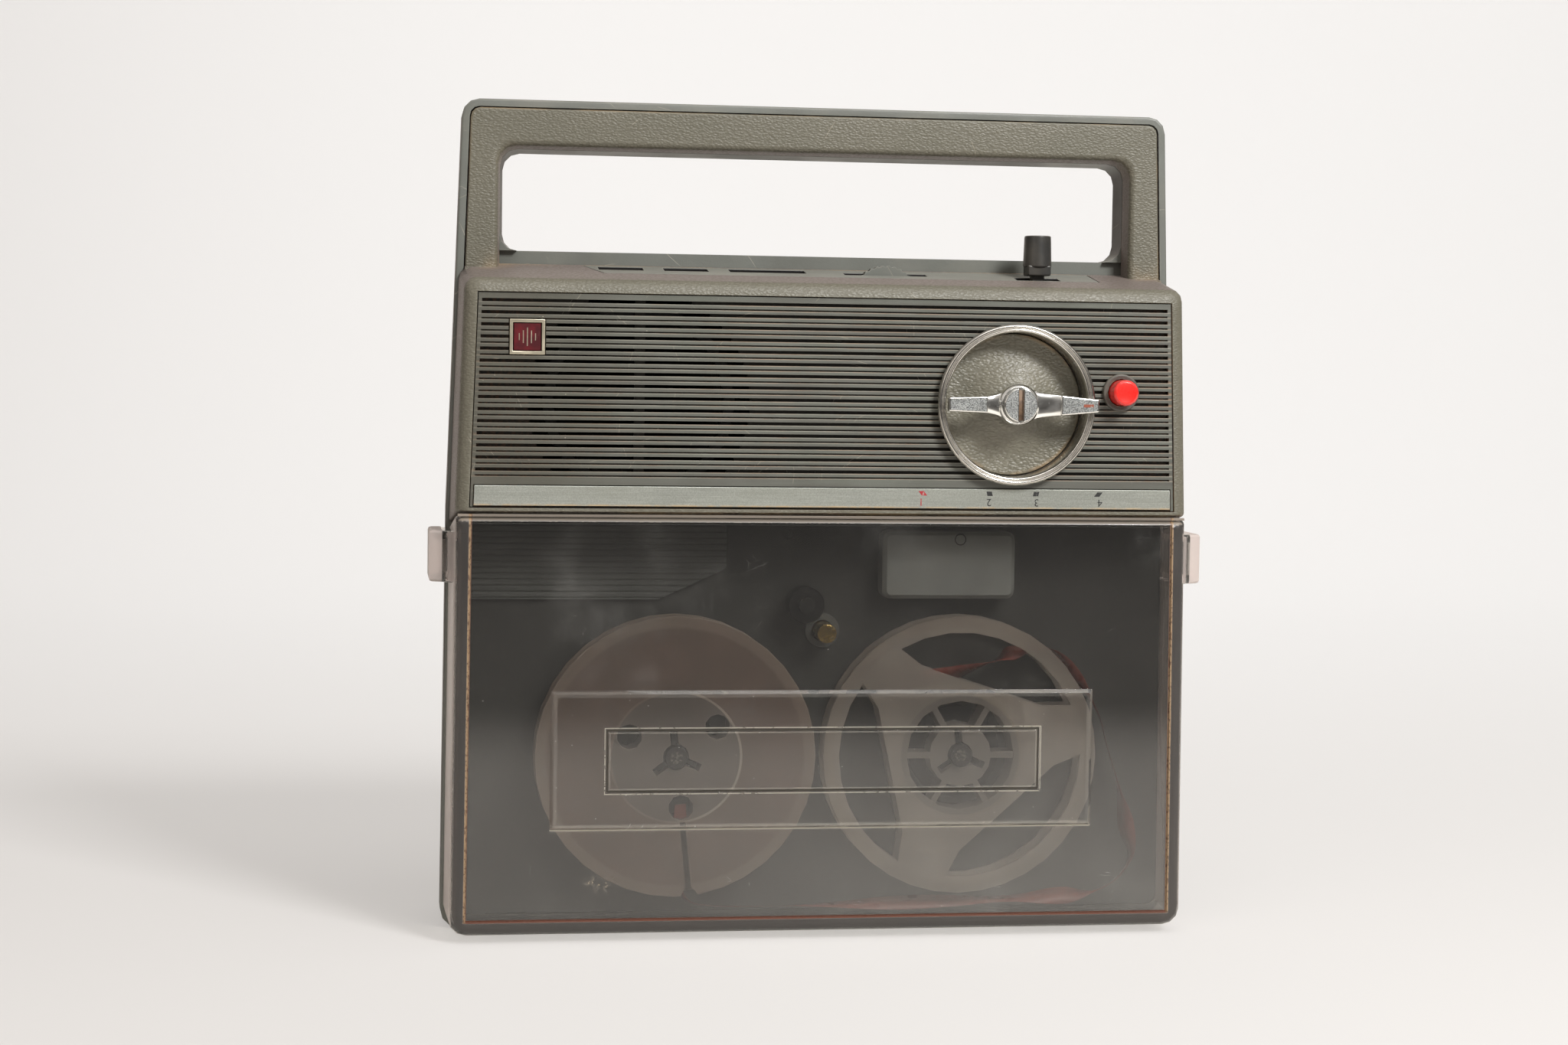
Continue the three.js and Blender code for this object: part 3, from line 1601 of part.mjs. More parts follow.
function deckPlate() {
  const sideInset = stepAt(deckFront) + coverWall + deckSideGap;
  const deckFoot = coverFoot + coverWall + deckSideGap;
  const ring = { foot: deckFoot, top: deckTop, inset: sideInset, footRadius: coverEdgeRadius };
  const back = deckFront + deckThickness;
  let deck = loft([caseRing(deckFront, ring), caseRing(back, ring)]);
  for (let rib = 0; rib < deckRibs; rib += 1) {
    const top = deckRibTop - rib * deckRibPitch;
    const right = deckRibRight - rib * deckRibPitch * deckRibSlantShare;
    deck = deck.add(
      block(
        [deckRibLeft, right],
        [deckFront - deckRibRise, deckFront + deckThickness / 2],
        [top - deckRibWidth, top],
      ),
    );
  }
  for (const [x, height] of columnPlaces) {
    deck = deck.add(rod(x, height, deckBossRadius, [back - deckThickness / 2, deckBossBack], coarseSides));
    deck = deck.subtract(
      rod(x, height, screwRadius + seatGap, [screwTip - seatGap, deckBossBack + overrun], coarseSides),
    );
  }
  for (const x of Object.values(reelPlaces)) {
    deck = deck.add(rod(x, reelHeight, bearingRadius, [back - deckThickness / 2, bearingBack]));
    deck = deck.subtract(
      rod(x, reelHeight, spindleShaftRadius + seatGap, [deckFront - overrun, bearingBack + overrun]),
    );
  }
  for (const angle of motorPostAngles) {
    const x = motorX + motorPostOrbit * Math.cos(angle);
    const height = motorHeight + motorPostOrbit * Math.sin(angle);
    deck = deck.add(rod(
      x,
      height,
      motorPostRadius,
      [back - deckThickness / 2, motorFront - seatGap],
      coarseSides,
    ));
  }
  deck = deck.subtract(
    rod(
      deckDotX,
      deckDotHeight,
      deckDotRadius,
      [deckFront - overrun, deckFront + deckDotDepth],
      coarseSides,
    ),
  );
  deck = deck.add(rod(capstanX, capstanHeight, capstanBossRadius, [deckFront - capstanBossRise, back]));
  deck = deck.subtract(
    rod(capstanX, capstanHeight, capstanRadius + seatGap, [deckFront - overrun, back + overrun]),
  );
  deck = deck.add(rod(
    pinchPivotX,
    pinchPivotHeight,
    pinchPivotRadius,
    [deckFront, pinchPostBack],
    coarseSides,
  ));
  return deck.subtract(
    rod(rollerX, rollerHeight, pinchSlotRadius, [deckFront - overrun, back + overrun], coarseSides),
  );
}

// Three bars at thirds of a turn, which cut the key slots of a reel and build the keys of a spindle.
function keyBars(x, height, width, reach, span) {
  const bars = [];
  for (let key = 0; key < 3; key += 1) {
    const angle = rightAngle + (key / 3 + takeupTurnShare) * fullTurn;
    const [c, s] = [Math.cos(angle), Math.sin(angle)];
    const half = width / 2;
    const corners = [
      [0, -half],
      [reach, -half],
      [reach, half],
      [0, half],
    ].map(([along, across]) => [x + along * c - across * s, height + along * s + across * c]);
    bars.push(slab(shapeOf(corners), span));
  }
  return joined(bars);
}

function reelBlank(x) {
  const front = [reelFront, reelFront + flangeThickness];
  const back = [reelBack - flangeThickness, reelBack];
  return [front, back].map((span) => rod(x, reelHeight, reelRadius, span, fineSides));
}

function bored(reel, x) {
  const through = [reelFront - overrun, reelBack + overrun];
  const rest = reel.subtract(rod(x, reelHeight, spindleHoleRadius, through, sides));
  return rest.subtract(keyBars(x, reelHeight, keySlotWidth, keySlotReach, through));
}

// The reel with full flanges: three round holes and a threading slot.
function takeupReel() {
  const x = reelPlaces.takeup;
  const through = [reelFront - overrun, reelBack + overrun];
  const hub = rod(x, reelHeight, fullHubRadius, [reelFront + seatGap, reelBack - seatGap], fineSides);
  let reel = joined([...reelBlank(x), hub]);
  for (let hole = 0; hole < 3; hole += 1) {
    const angle = (hole / 3 + takeupTurnShare) * fullTurn - rightAngle;
    reel = reel.subtract(
      rod(
        x + fullHoleOrbit * Math.cos(angle),
        reelHeight + fullHoleOrbit * Math.sin(angle),
        fullHoleRadius,
        through,
        coarseSides,
      ),
    );
  }
  const turn = takeupTurnShare * fullTurn;
  const slotSpan = [reelFront - overrun, reelFront + flangeThickness + seatGap];
  const rim = -reelRadius - overrun;
  const slot = [
    [-threadSlot / 2, rim],
    [threadSlot / 2, rim],
    [threadSlot / 2, -fullHubRadius - seatGap],
    [-threadSlot / 2, -fullHubRadius - seatGap],
  ];
  const notch = [
    [-threadNotch, rim],
    [threadNotch, rim],
    [0, threadNotch - reelRadius],
  ];
  for (const points of [slot, notch]) {
    const turned = points.map(([across, up]) => [
      x + across * Math.cos(turn) - up * Math.sin(turn),
      reelHeight + across * Math.sin(turn) + up * Math.cos(turn),
    ]);
    reel = reel.subtract(slab(shapeOf(turned), slotSpan));
  }
  return bored(reel, x);
}

// The reel with open flanges: three large windows and a spoked hub.
function supplyReel() {
  const x = reelPlaces.supply;
  const through = [reelFront - overrun, reelBack + overrun];
  const hubSpan = [reelFront + seatGap, reelBack - seatGap];
  let reel = joined(reelBlank(x)).subtract(rod(x, reelHeight, openHubRadius - openHubWall, through, sides));
  const barrel = rod(x, reelHeight, openHubRadius, hubSpan, fineSides).subtract(
    rod(x, reelHeight, openHubRadius - openHubWall, through, sides),
  );
  reel = joined([reel, barrel, rod(x, reelHeight, openBossRadius, hubSpan, sides)]);
  for (let spoke = 0; spoke < openSpokes; spoke += 1) {
    const angle = (spoke / openSpokes) * fullTurn;
    const reach = openHubRadius - openHubWall / 2;
    const [c, s] = [Math.cos(angle), Math.sin(angle)];
    const corners = [
      [0, -openSpokeWidth / 2],
      [reach, -openSpokeWidth / 2],
      [reach, openSpokeWidth / 2],
      [0, openSpokeWidth / 2],
    ].map(([along, across]) => [x + along * c - across * s, reelHeight + along * s + across * c]);
    reel = reel.add(slab(shapeOf(corners), hubSpan));
  }
  for (let window = 0; window < 3; window += 1) {
    reel = reel.subtract(slab(windowShape(x, window / 3 + supplyTurnShare), through));
  }
  return bored(reel, x);
}

// A window bounded by an arc along the rim and by a straight chord near the hub.
function windowShape(x, turn) {
  const points = [];
  const sweep = (fullTurn / 3) * windowSweepShare;
  const middle = turn * fullTurn;
  const steps = 8;
  for (let i = 0; i <= steps; i += 1) {
    const angle = middle + sweep * (i / steps - 0.5);
    points.push([x + windowOuter * Math.cos(angle), reelHeight + windowOuter * Math.sin(angle)]);
  }
  for (let i = steps; i >= 0; i -= 1) {
    const share = i / steps - 0.5;
    const angle = middle + sweep * share * windowChordShare;
    const radius = windowInner / Math.cos(sweep * share * windowChordShare);
    points.push([x + radius * Math.cos(angle), reelHeight + radius * Math.sin(angle)]);
  }
  return shapeOf(points);
}

function spindle(x) {
  const cap = revolve(x, reelHeight, [
    [0, spindleFront],
    [spindleCapRadius - seatGap, spindleFront],
    [spindleCapRadius, spindleFront + seatGap],
    [spindleCapRadius, turntableFront],
    [turntableRadius, turntableFront],
    [turntableRadius, turntableFront + turntableThickness],
    [spindleShaftRadius, turntableFront + turntableThickness],
    [spindleShaftRadius, spindleBack],
    [0, spindleBack],
  ]);
  return cap.add(keyBars(
    x,
    reelHeight,
    spindleKeyWidth,
    spindleKeyReach,
    [spindleKeyFront, spindleKeyBack],
  ));
}

function clutchWheel(x) {
  const wheel = revolve(x, reelHeight, [
    [clutchRadius, clutchFront],
    [clutchRadius - grooveDepth, clutchFront + clutchThickness / 2],
    [clutchRadius, clutchFront + clutchThickness],
    [spindleShaftRadius + seatGap, clutchFront + clutchThickness],
    [spindleShaftRadius + seatGap, clutchFront],
  ]);
  return wheel;
}

function tapeWrap() {
  const middle = (reelFront + reelBack) / 2;
  return revolve(
    reelPlaces.takeup,
    reelHeight,
    [
      [fullHubRadius + seatGap, middle - tapeWidth / 2],
      [fullHubRadius + seatGap + tapeTurns, middle - tapeWidth / 2],
      [fullHubRadius + seatGap + tapeTurns, middle + tapeWidth / 2],
      [fullHubRadius + seatGap, middle + tapeWidth / 2],
    ],
    fineSides,
  );
}

function capstan() {
  return revolve(capstanX, capstanHeight, [
    [0, capstanFront],
    [capstanRadius - seatGap, capstanFront],
    [capstanRadius, capstanFront + seatGap],
    [capstanRadius, capstanBack],
    [0, capstanBack],
  ]);
}

const flywheelGroove = flywheelRadius - grooveDepth;
const pulleyGroove = motorPulleyRadius - grooveDepth;

function flywheel() {
  const back = flywheelFront + flywheelThickness;
  const webFront = flywheelFront + (flywheelThickness - flywheelWeb) / 2;
  return revolve(
    capstanX,
    capstanHeight,
    [
      [capstanRadius + seatGap, flywheelFront],
      [flywheelHubRadius, flywheelFront],
      [flywheelHubRadius, webFront],
      [flywheelRadius - flywheelRim, webFront],
      [flywheelRadius - flywheelRim, flywheelFront],
      [flywheelRadius, flywheelFront],
      [flywheelRadius, beltDepth - grooveHalfWidth],
      [flywheelGroove, beltDepth - grooveHalfWidth],
      [flywheelGroove, beltDepth + grooveHalfWidth],
      [flywheelRadius, beltDepth + grooveHalfWidth],
      [flywheelRadius, back],
      [flywheelRadius - flywheelRim, back],
      [flywheelRadius - flywheelRim, webFront + flywheelWeb],
      [flywheelHubRadius, webFront + flywheelWeb],
      [flywheelHubRadius, back],
      [capstanRadius + seatGap, back],
    ],
    motionSides,
  );
}

function flywheelBracket() {
  const back = flywheelBracketFront + bracketThickness;
  const heights = [capstanHeight - flywheelBracketHeight, capstanHeight + flywheelBracketHeight];
  const bridge = block(
    [capstanX - flywheelBracketHalf, capstanX + flywheelBracketHalf],
    [flywheelBracketFront, back],
    heights,
  );
  const legs = sidesOfCase.map((side) => {
    const outer = capstanX + side * flywheelBracketHalf;
    const inner = outer - side * bracketThickness;
    return block(
      [Math.min(outer, inner), Math.max(outer, inner)],
      [deckFront + deckThickness + seatGap, back],
      heights,
    );
  });
  return joined([bridge, ...legs]).subtract(
    rod(capstanX, capstanHeight, capstanRadius + seatGap, [flywheelBracketFront - overrun, back + overrun]),
  );
}

// The outline round two circles and their outer tangents.
function beltShape(wheelR, pulleyR) {
  const dx = motorX - capstanX;
  const dz = motorHeight - capstanHeight;
  const distance = Math.hypot(dx, dz);
  const heading = Math.atan2(dz, dx);
  const spread = Math.acos((wheelR - pulleyR) / distance);
  const points = [];
  const wheelSteps = 18;
  const pulleySteps = 6;
  for (let i = 0; i <= wheelSteps; i += 1) {
    const angle = heading + lerp(spread, fullTurn - spread, i / wheelSteps);
    points.push([capstanX + wheelR * Math.cos(angle), capstanHeight + wheelR * Math.sin(angle)]);
  }
  for (let i = 0; i <= pulleySteps; i += 1) {
    const angle = heading + lerp(-spread, spread, i / pulleySteps);
    points.push([motorX + pulleyR * Math.cos(angle), motorHeight + pulleyR * Math.sin(angle)]);
  }
  return shapeOf(points);
}

function driveBelt() {
  const inner = flywheelGroove + seatGap;
  const pulleyInner = pulleyGroove + seatGap;
  const span = [beltDepth - beltWidth / 2, beltDepth + beltWidth / 2];
  const outerSpan = [span[0] - overrun, span[1] + overrun];
  return slab(beltShape(inner + beltThickness, pulleyInner + beltThickness), span).subtract(
    slab(beltShape(inner, pulleyInner), outerSpan),
  );
}

function motorPulley() {
  return revolve(motorX, motorHeight, [
    [0, motorPulleyFront],
    [motorPulleyRadius, motorPulleyFront],
    [motorPulleyRadius, beltDepth - grooveHalfWidth],
    [pulleyGroove, beltDepth - grooveHalfWidth],
    [pulleyGroove, beltDepth + grooveHalfWidth],
    [motorPulleyRadius, beltDepth + grooveHalfWidth],
    [motorPulleyRadius, motorPulleyBack],
    [motorShaftRadius, motorPulleyBack],
    [motorShaftRadius, motorFront + overrun],
    [0, motorFront + overrun],
  ]);
}

function motorBody() {
  const edge = bracketThickness;
  return revolve(motorX, motorHeight, [
    [0, motorFront + overrun + seatGap],
    [motorShaftRadius + seatGap, motorFront + overrun + seatGap],
    [motorShaftRadius + seatGap, motorFront],
    [motorRadius - edge, motorFront],
    [motorRadius, motorFront + edge],
    [motorRadius, motorBack - edge],
    [motorRadius - edge, motorBack],
    [0, motorBack],
  ]);
}

// The pinch arm swings behind the deck about a post, and carries the roller's axle through a hole.
function pinchArm() {
  const front = deckFront + deckThickness + seatGap;
  const span = [front, front + pinchArmSheet];
  const dx = rollerX - pinchPivotX;
  const dz = rollerHeight - pinchPivotHeight;
  const length = Math.hypot(dx, dz);
  const [c, s] = [dx / length, dz / length];
  const half = pinchArmWidth / 2;
  const bar = [
    [0, -half],
    [length, -half],
    [length, half],
    [0, half],
  ].map(([along, across]) => [
    pinchPivotX + along * c - across * s,
    pinchPivotHeight + along * s + across * c,
  ]);
  const arm = joined([
    slab(shapeOf(bar), span),
    rod(pinchPivotX, pinchPivotHeight, half, span, coarseSides),
    rod(rollerX, rollerHeight, half, span, coarseSides),
    rod(
      rollerX,
      rollerHeight,
      rollerAxleRadius,
      [rollerFront - seatGap, front + pinchArmSheet / 2],
      coarseSides,
    ),
    rod(
      rollerX,
      rollerHeight,
      axleHeadRadius,
      [rollerFront - seatGap - pinchArmSheet, rollerFront - seatGap],
      coarseSides,
    ),
  ]);
  return arm.subtract(
    rod(
      pinchPivotX,
      pinchPivotHeight,
      pinchPivotRadius + seatGap,
      [front - overrun, front + overrun],
      coarseSides,
    ),
  );
}

function pinchRoller() {
  return revolve(rollerX, rollerHeight, [
    [rollerAxleRadius + seatGap, rollerFront],
    [rollerRadius, rollerFront],
    [rollerRadius, rollerBack],
    [rollerAxleRadius + seatGap, rollerBack],
  ]);
}

function headCover() {
  const span = [headCoverLeft, headCoverRight];
  const heights = [headCoverFoot, headCoverTop];
  const back = deckFront - seatGap;
  const shrunk = (inset) => [
    [span[0] + inset, span[1] - inset],
    [heights[0] + inset, heights[1] - inset],
  ];
  const outer = loft([
    boxRing(headCoverFront, ...shrunk(headCoverWall), headCoverRadius - headCoverWall),
    boxRing(headCoverFront + headCoverWall, ...shrunk(0), headCoverRadius),
    boxRing(back, ...shrunk(0), headCoverRadius),
  ]);
  const [insideX, insideZ] = shrunk(headCoverWall);
  return outer.subtract(
    block(insideX, [headCoverFront + headCoverWall, back + overrun], [headCoverFoot - overrun, insideZ[1]]),
  );
}

// A tape head: a block whose lower face is curved where the tape wraps it.
function tapeHead(x) {
  const top = headFoot + headTall;
  const left = x - headHalfWidth;
  const right = x + headHalfWidth;
  const face = new THREE.Shape();
  face.moveTo(left, top);
  face.lineTo(left, headFoot + headHalfWidth / 2);
  face.quadraticCurveTo(x, headFoot - headHalfWidth / 4, right, headFoot + headHalfWidth / 2);
  face.lineTo(right, top);
  return slab(face, [headFront, headBack], cornerSteps);
}

function leaderTape() {
  const stops = leaderRoute.map(([x, z]) => new THREE.Vector3(x, z, 0));
  const curve = new THREE.CatmullRomCurve3(stops, false, "centripetal");
  const left = [];
  const right = [];
  for (let i = 0; i <= leaderSteps; i += 1) {
    const share = i / leaderSteps;
    const at = curve.getPointAt(share);
    const along = curve.getTangentAt(share);
    const half = leaderThickness / 2;
    left.push([at.x - along.y * half, at.y + along.x * half]);
    right.push([at.x + along.y * half, at.y - along.x * half]);
  }
  const middle = (reelFront + reelBack) / 2;
  return slab(shapeOf([...right, ...left.reverse()]), [middle - tapeWidth / 2, middle + tapeWidth / 2]);
}

// Electrics.

// The circuit board with the two tall parts that are soldered on it.
function circuitBoard() {
  const board = block(
    [boardLeft, boardRight],
    [boardFront, boardFront + boardThickness],
    [boardFoot, boardTop],
  );
  const back = boardFront + solderSink;
  const core = block(
    [transformerX - transformerHalfWidth, transformerX + transformerHalfWidth],
    [back - transformerDepth * transformerCoilShare, back],
    [transformerHeight - transformerHalfHeight, transformerHeight + transformerHalfHeight],
  );
  const coilHalf = transformerHalfWidth * transformerCoilShare;
  const coil = block(
    [transformerX - coilHalf, transformerX + coilHalf],
    [back - transformerDepth, back],
    [transformerHeight - coilHalf, transformerHeight + coilHalf],
  );
  const half = capacitorLength / 2;
  const capacitor = crossRod(
    boardFront + solderSink - capacitorRadius,
    capacitorHeight,
    capacitorRadius,
    [capacitorX - half, capacitorX + half],
    sides,
  );
  return joined([board, core, coil, capacitor]);
}

const bayBack = bodyDepth - shellWall - seatGap;

function batteryBox() {
  const outer = block([bayLeft, bayRight], [bayFront, bayBack], [bayFoot, bayTop]);
  return outer.subtract(
    block(
      [bayLeft + bayWall, bayRight - bayWall],
      [bayFront + bayWall, bayBack + overrun],
      [bayFoot + bayWall, bayTop - bayWall],
    ),
  );
}

function batteryContact(left) {
  return block(
    [left, left + contactThickness],
    [bayFront + bayWall + seatGap, bayBack - overrun],
    [bayFoot + bayWall + seatGap, bayTop - bayWall - seatGap],
  );
}

function batteryCell(column, row) {
  const left = bayLeft + bayWall + seatGap + column * (cellLength + seatGap);
  const can = crossRod(
    cellDepth,
    cellRows[row],
    cellRadius,
    [left, left + cellLength - cellNub - seatGap],
    sides,
  );
  const nubEnd = left + cellLength;
  const nub = crossRod(
    cellDepth,
    cellRows[row],
    cellNubRadius,
    [nubEnd - cellNub - overrun, nubEnd - seatGap],
  );
  return can.add(nub);
}

function batteryDoor() {
  const span = [doorLeft + seatGap, doorRight - seatGap];
  const plate = block(
    span,
    [bodyDepth - doorThickness, bodyDepth],
    [doorPivotHeight, doorTop - seatGap],
  );
  const edge = crossRod(doorPivotDepth, doorPivotHeight, doorPivotRadius, span);
  const pin = crossRod(doorPivotDepth, doorPivotHeight, doorPinRadius, [
    doorLeft - doorPinLength,
    doorRight + doorPinLength,
  ]);
  return joined([plate, edge, pin]);
}

function foot(side, height) {
  const front = bodyDepth + seatGap;
  const edge = footDish;
  return revolve(
    side * footX,
    height,
    [
      [0, front],
      [footRadius, front],
      [footRadius - edge, front + footHeight],
      [0, front + footHeight],
    ],
    coarseSides + 2,
  );
}

function caseScrew(x, height) {
  const headFrontDepth = bodyDepth - screwSink + seatGap;
  return revolve(
    x,
    height,
    [
      [0, screwTip],
      [screwRadius, screwTip],
      [screwRadius, headFrontDepth],
      [screwHeadRadius, headFrontDepth],
      [screwHeadRadius, headFrontDepth + screwHeadHeight / 2],
      [screwHeadRadius / 2, headFrontDepth + screwHeadHeight],
      [0, headFrontDepth + screwHeadHeight],
    ],
    coarseSides,
  );
}

// Finishes.

const finishes = {
  shell: { color: 0x3f423f, roughness: 0.55, metalness: 0 },
  leatherGrain: { color: 0x6b695c, roughness: 0.62, metalness: 0 },
  ribbed: { color: 0x55564c, roughness: 0.5, metalness: 0 },
  brushed: { color: 0xa3a69f, roughness: 0.38, metalness: 0.9 },
  chrome: { color: 0xc9c9c6, roughness: 0.14, metalness: 1 },
  frame: { color: 0xa69f8b, roughness: 0.35, metalness: 0.8 },
  badge: { color: 0x5d0f1a, roughness: 0.35, metalness: 0 },
  red: { color: 0xd8302a, roughness: 0.3, metalness: 0 },
  black: { color: 0x1d1d1d, roughness: 0.4, metalness: 0 },
  deck: { color: 0x2d302f, roughness: 0.6, metalness: 0 },
  smoky: { color: 0x5a5652, roughness: 0.15, metalness: 0, transparent: true, opacity: 0.4 },
  reel: { color: 0x8a7468, roughness: 0.2, metalness: 0, transparent: true, opacity: 0.55 },
  tape: { color: 0x8c3a2e, roughness: 0.4, metalness: 0 },
  steel: { color: 0x8f9294, roughness: 0.35, metalness: 1 },
  brass: { color: 0xb08b3e, roughness: 0.3, metalness: 1 },
  rubber: { color: 0x191919, roughness: 0.85, metalness: 0 },
  paper: { color: 0x232323, roughness: 0.9, metalness: 0 },
  board: { color: 0x7a6a35, roughness: 0.5, metalness: 0 },
  cell: { color: 0x40444a, roughness: 0.4, metalness: 0.5 },
  plastic: { color: 0x4b4a44, roughness: 0.55, metalness: 0 },
};

const materials = Object.fromEntries(
  Object.entries(finishes).map(([name, finish]) => [name, new THREE.MeshStandardMaterial(finish)]),
);

function meshOf(made, name, material) {
  const { numProp, vertProperties, triVerts } = made.getMesh();
  const position = new Float32Array((vertProperties.length / numProp) * 3);
  for (let i = 0; i < position.length / 3; i += 1) {
    position.set(vertProperties.subarray(i * numProp, i * numProp + 3), i * 3);
  }
  const geometry = new THREE.BufferGeometry();
  geometry.setAttribute("position", new THREE.BufferAttribute(position, 3));
  geometry.setIndex(new THREE.BufferAttribute(triVerts, 1));
  geometry.computeVertexNormals();
  const mesh = new THREE.Mesh(geometry, materials[material]);
  mesh.name = name;
  return mesh;
}

const recorder = new THREE.Group();

function place(name, material, made) {
  recorder.add(meshOf(made, name, material));
}

place("rear_shell", "shell", rearShell());
place("front_shell", "leatherGrain", frontShell());
place("grille", "ribbed", grille());
place("silver_strip", "brushed", silverStrip());
place("badge_frame", "frame", badgeFrame());
place("badge_plate", "badge", badgePlate());
place("selector_ring", "chrome", selectorRing());
place("selector_dish", "leatherGrain", selectorDish());
place("selector_lever", "chrome", selectorLever());
place("selector_cap", "chrome", selectorCap());
place("selector_shaft", "steel", selectorShaft());
place("record_button", "red", recordButton());
place("record_spring", "steel", recordSpring());
place("record_switch", "plastic", recordSwitch());
place("control_plate", "plastic", controlPlate());
place("jack_block", "black", jackBlock());
place("volume_wheel", "plastic", volumeWheel());
place("volume_control", "steel", volumeControl());
place("switch_knob", "black", switchKnob());
place("slide_switch", "steel", slideSwitch());
place("speaker_frame", "steel", speakerFrame());
place("speaker_cone", "paper", speakerCone());
place("smoky_cover", "smoky", smokyCover());
place("deck_plate", "deck", deckPlate());
place("takeup_reel", "reel", takeupReel());
place("supply_reel", "reel", supplyReel());
place("takeup_spindle", "black", spindle(reelPlaces.takeup));
place("supply_spindle", "black", spindle(reelPlaces.supply));
place("takeup_clutch_wheel", "plastic", clutchWheel(reelPlaces.takeup));
place("supply_clutch_wheel", "plastic", clutchWheel(reelPlaces.supply));
place("tape_wrap", "tape", tapeWrap());
place("leader_tape", "tape", leaderTape());
place("capstan", "brass", capstan());
place("flywheel", "steel", flywheel());
place("flywheel_bracket", "steel", flywheelBracket());
place("drive_belt", "rubber", driveBelt());
place("motor_pulley", "brass", motorPulley());
place("motor", "steel", motorBody());
place("pinch_arm", "steel", pinchArm());
place("pinch_roller", "rubber", pinchRoller());
place("head_cover", "plastic", headCover());
place("record_head", "steel", tapeHead(recordHeadX));
place("erase_head", "steel", tapeHead(eraseHeadX));
place("circuit_board", "board", circuitBoard());
place("battery_box", "plastic", batteryBox());
place("battery_contact", "steel", batteryContact(bayRight - bayWall - seatGap - contactThickness));
place("battery_cell_a", "cell", batteryCell(0, 0));
place("battery_cell_b", "cell", batteryCell(1, 0));
place("battery_cell_c", "cell", batteryCell(0, 1));
place("battery_cell_d", "cell", batteryCell(1, 1));
place("battery_door", "shell", batteryDoor());
place("foot_low_left", "rubber", foot(-1, lowFootHeight));
place("foot_low_right", "rubber", foot(1, lowFootHeight));
place("foot_high_left", "rubber", foot(-1, highFootHeight));
place("foot_high_right", "rubber", foot(1, highFootHeight));
place("case_screw_low_left", "steel", caseScrew(-screwX, screwLow));
place("case_screw_low_right", "steel", caseScrew(screwX, screwLow));
place("case_screw_high_left", "steel", caseScrew(-screwX, screwHigh));
place("case_screw_high_right", "steel", caseScrew(screwX, screwHigh));

// The part's frame has its origin on the floor, in the middle of its width and depth.
const frontMost = hubCapFront;
const backMost = bodyDepth + seatGap + footHeight;
recorder.position.y = -(frontMost + backMost) / 2;

export default recorder;
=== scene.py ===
import math

import bmesh
import bpy
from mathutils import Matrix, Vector

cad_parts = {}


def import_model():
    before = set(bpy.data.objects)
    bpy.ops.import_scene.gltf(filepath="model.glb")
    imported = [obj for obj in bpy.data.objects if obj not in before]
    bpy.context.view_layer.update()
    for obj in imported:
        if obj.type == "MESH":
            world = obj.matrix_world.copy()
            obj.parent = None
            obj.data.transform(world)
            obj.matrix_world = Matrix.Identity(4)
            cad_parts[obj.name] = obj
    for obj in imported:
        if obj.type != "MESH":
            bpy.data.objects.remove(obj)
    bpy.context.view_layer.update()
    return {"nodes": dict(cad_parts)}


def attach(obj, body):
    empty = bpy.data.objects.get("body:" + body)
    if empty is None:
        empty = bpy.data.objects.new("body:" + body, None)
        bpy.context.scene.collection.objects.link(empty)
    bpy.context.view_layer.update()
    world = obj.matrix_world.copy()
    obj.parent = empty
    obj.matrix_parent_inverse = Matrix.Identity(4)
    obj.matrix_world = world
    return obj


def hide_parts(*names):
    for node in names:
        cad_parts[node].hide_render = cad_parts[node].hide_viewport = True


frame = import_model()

nodes = frame["nodes"]

MM = 0.001
# Place of the cover's flat face in y. Depths in mm are counted back from it.
FRONT = -28.15 * MM
# Upper end and pitch of the grille's pairs of bars, in mm.
RIB_TOP = 185.7
RIB_PITCH = 3.43
# Middles of the selector, the record button and the two reels, in x and z, in mm.
SELECTOR = (54.8, 156.9)
BUTTON = (86.4, 160.8)
TAKEUP = (-42.4, 52.7)
SUPPLY = (42.4, 52.7)
# Half width, foot and top of the cover's raised panel, and of the plaque on it, in mm.
RAISED_PANEL = (79.4, 33.3, 73.1)
PLAQUE = (63.8, 43.9, 62.4)
# Depth of the tape's middle, and half the tape's width, in mm.
TAPE_DEPTH = 15.2
TAPE_HALF_WIDTH = 3.1
# Depth of the strip's printing, in mm.
PRINT_DEPTH = -0.02


# Shader building.


def rgb(red, green, blue):
    """A colour given as it looks on a screen, 0 to 255, turned into the linear values shaders use."""

    def linear(value):
        value /= 255
        return value / 12.92 if value <= 0.04045 else ((value + 0.055) / 1.055) ** 2.4

    return linear(red), linear(green), linear(blue), 1.0


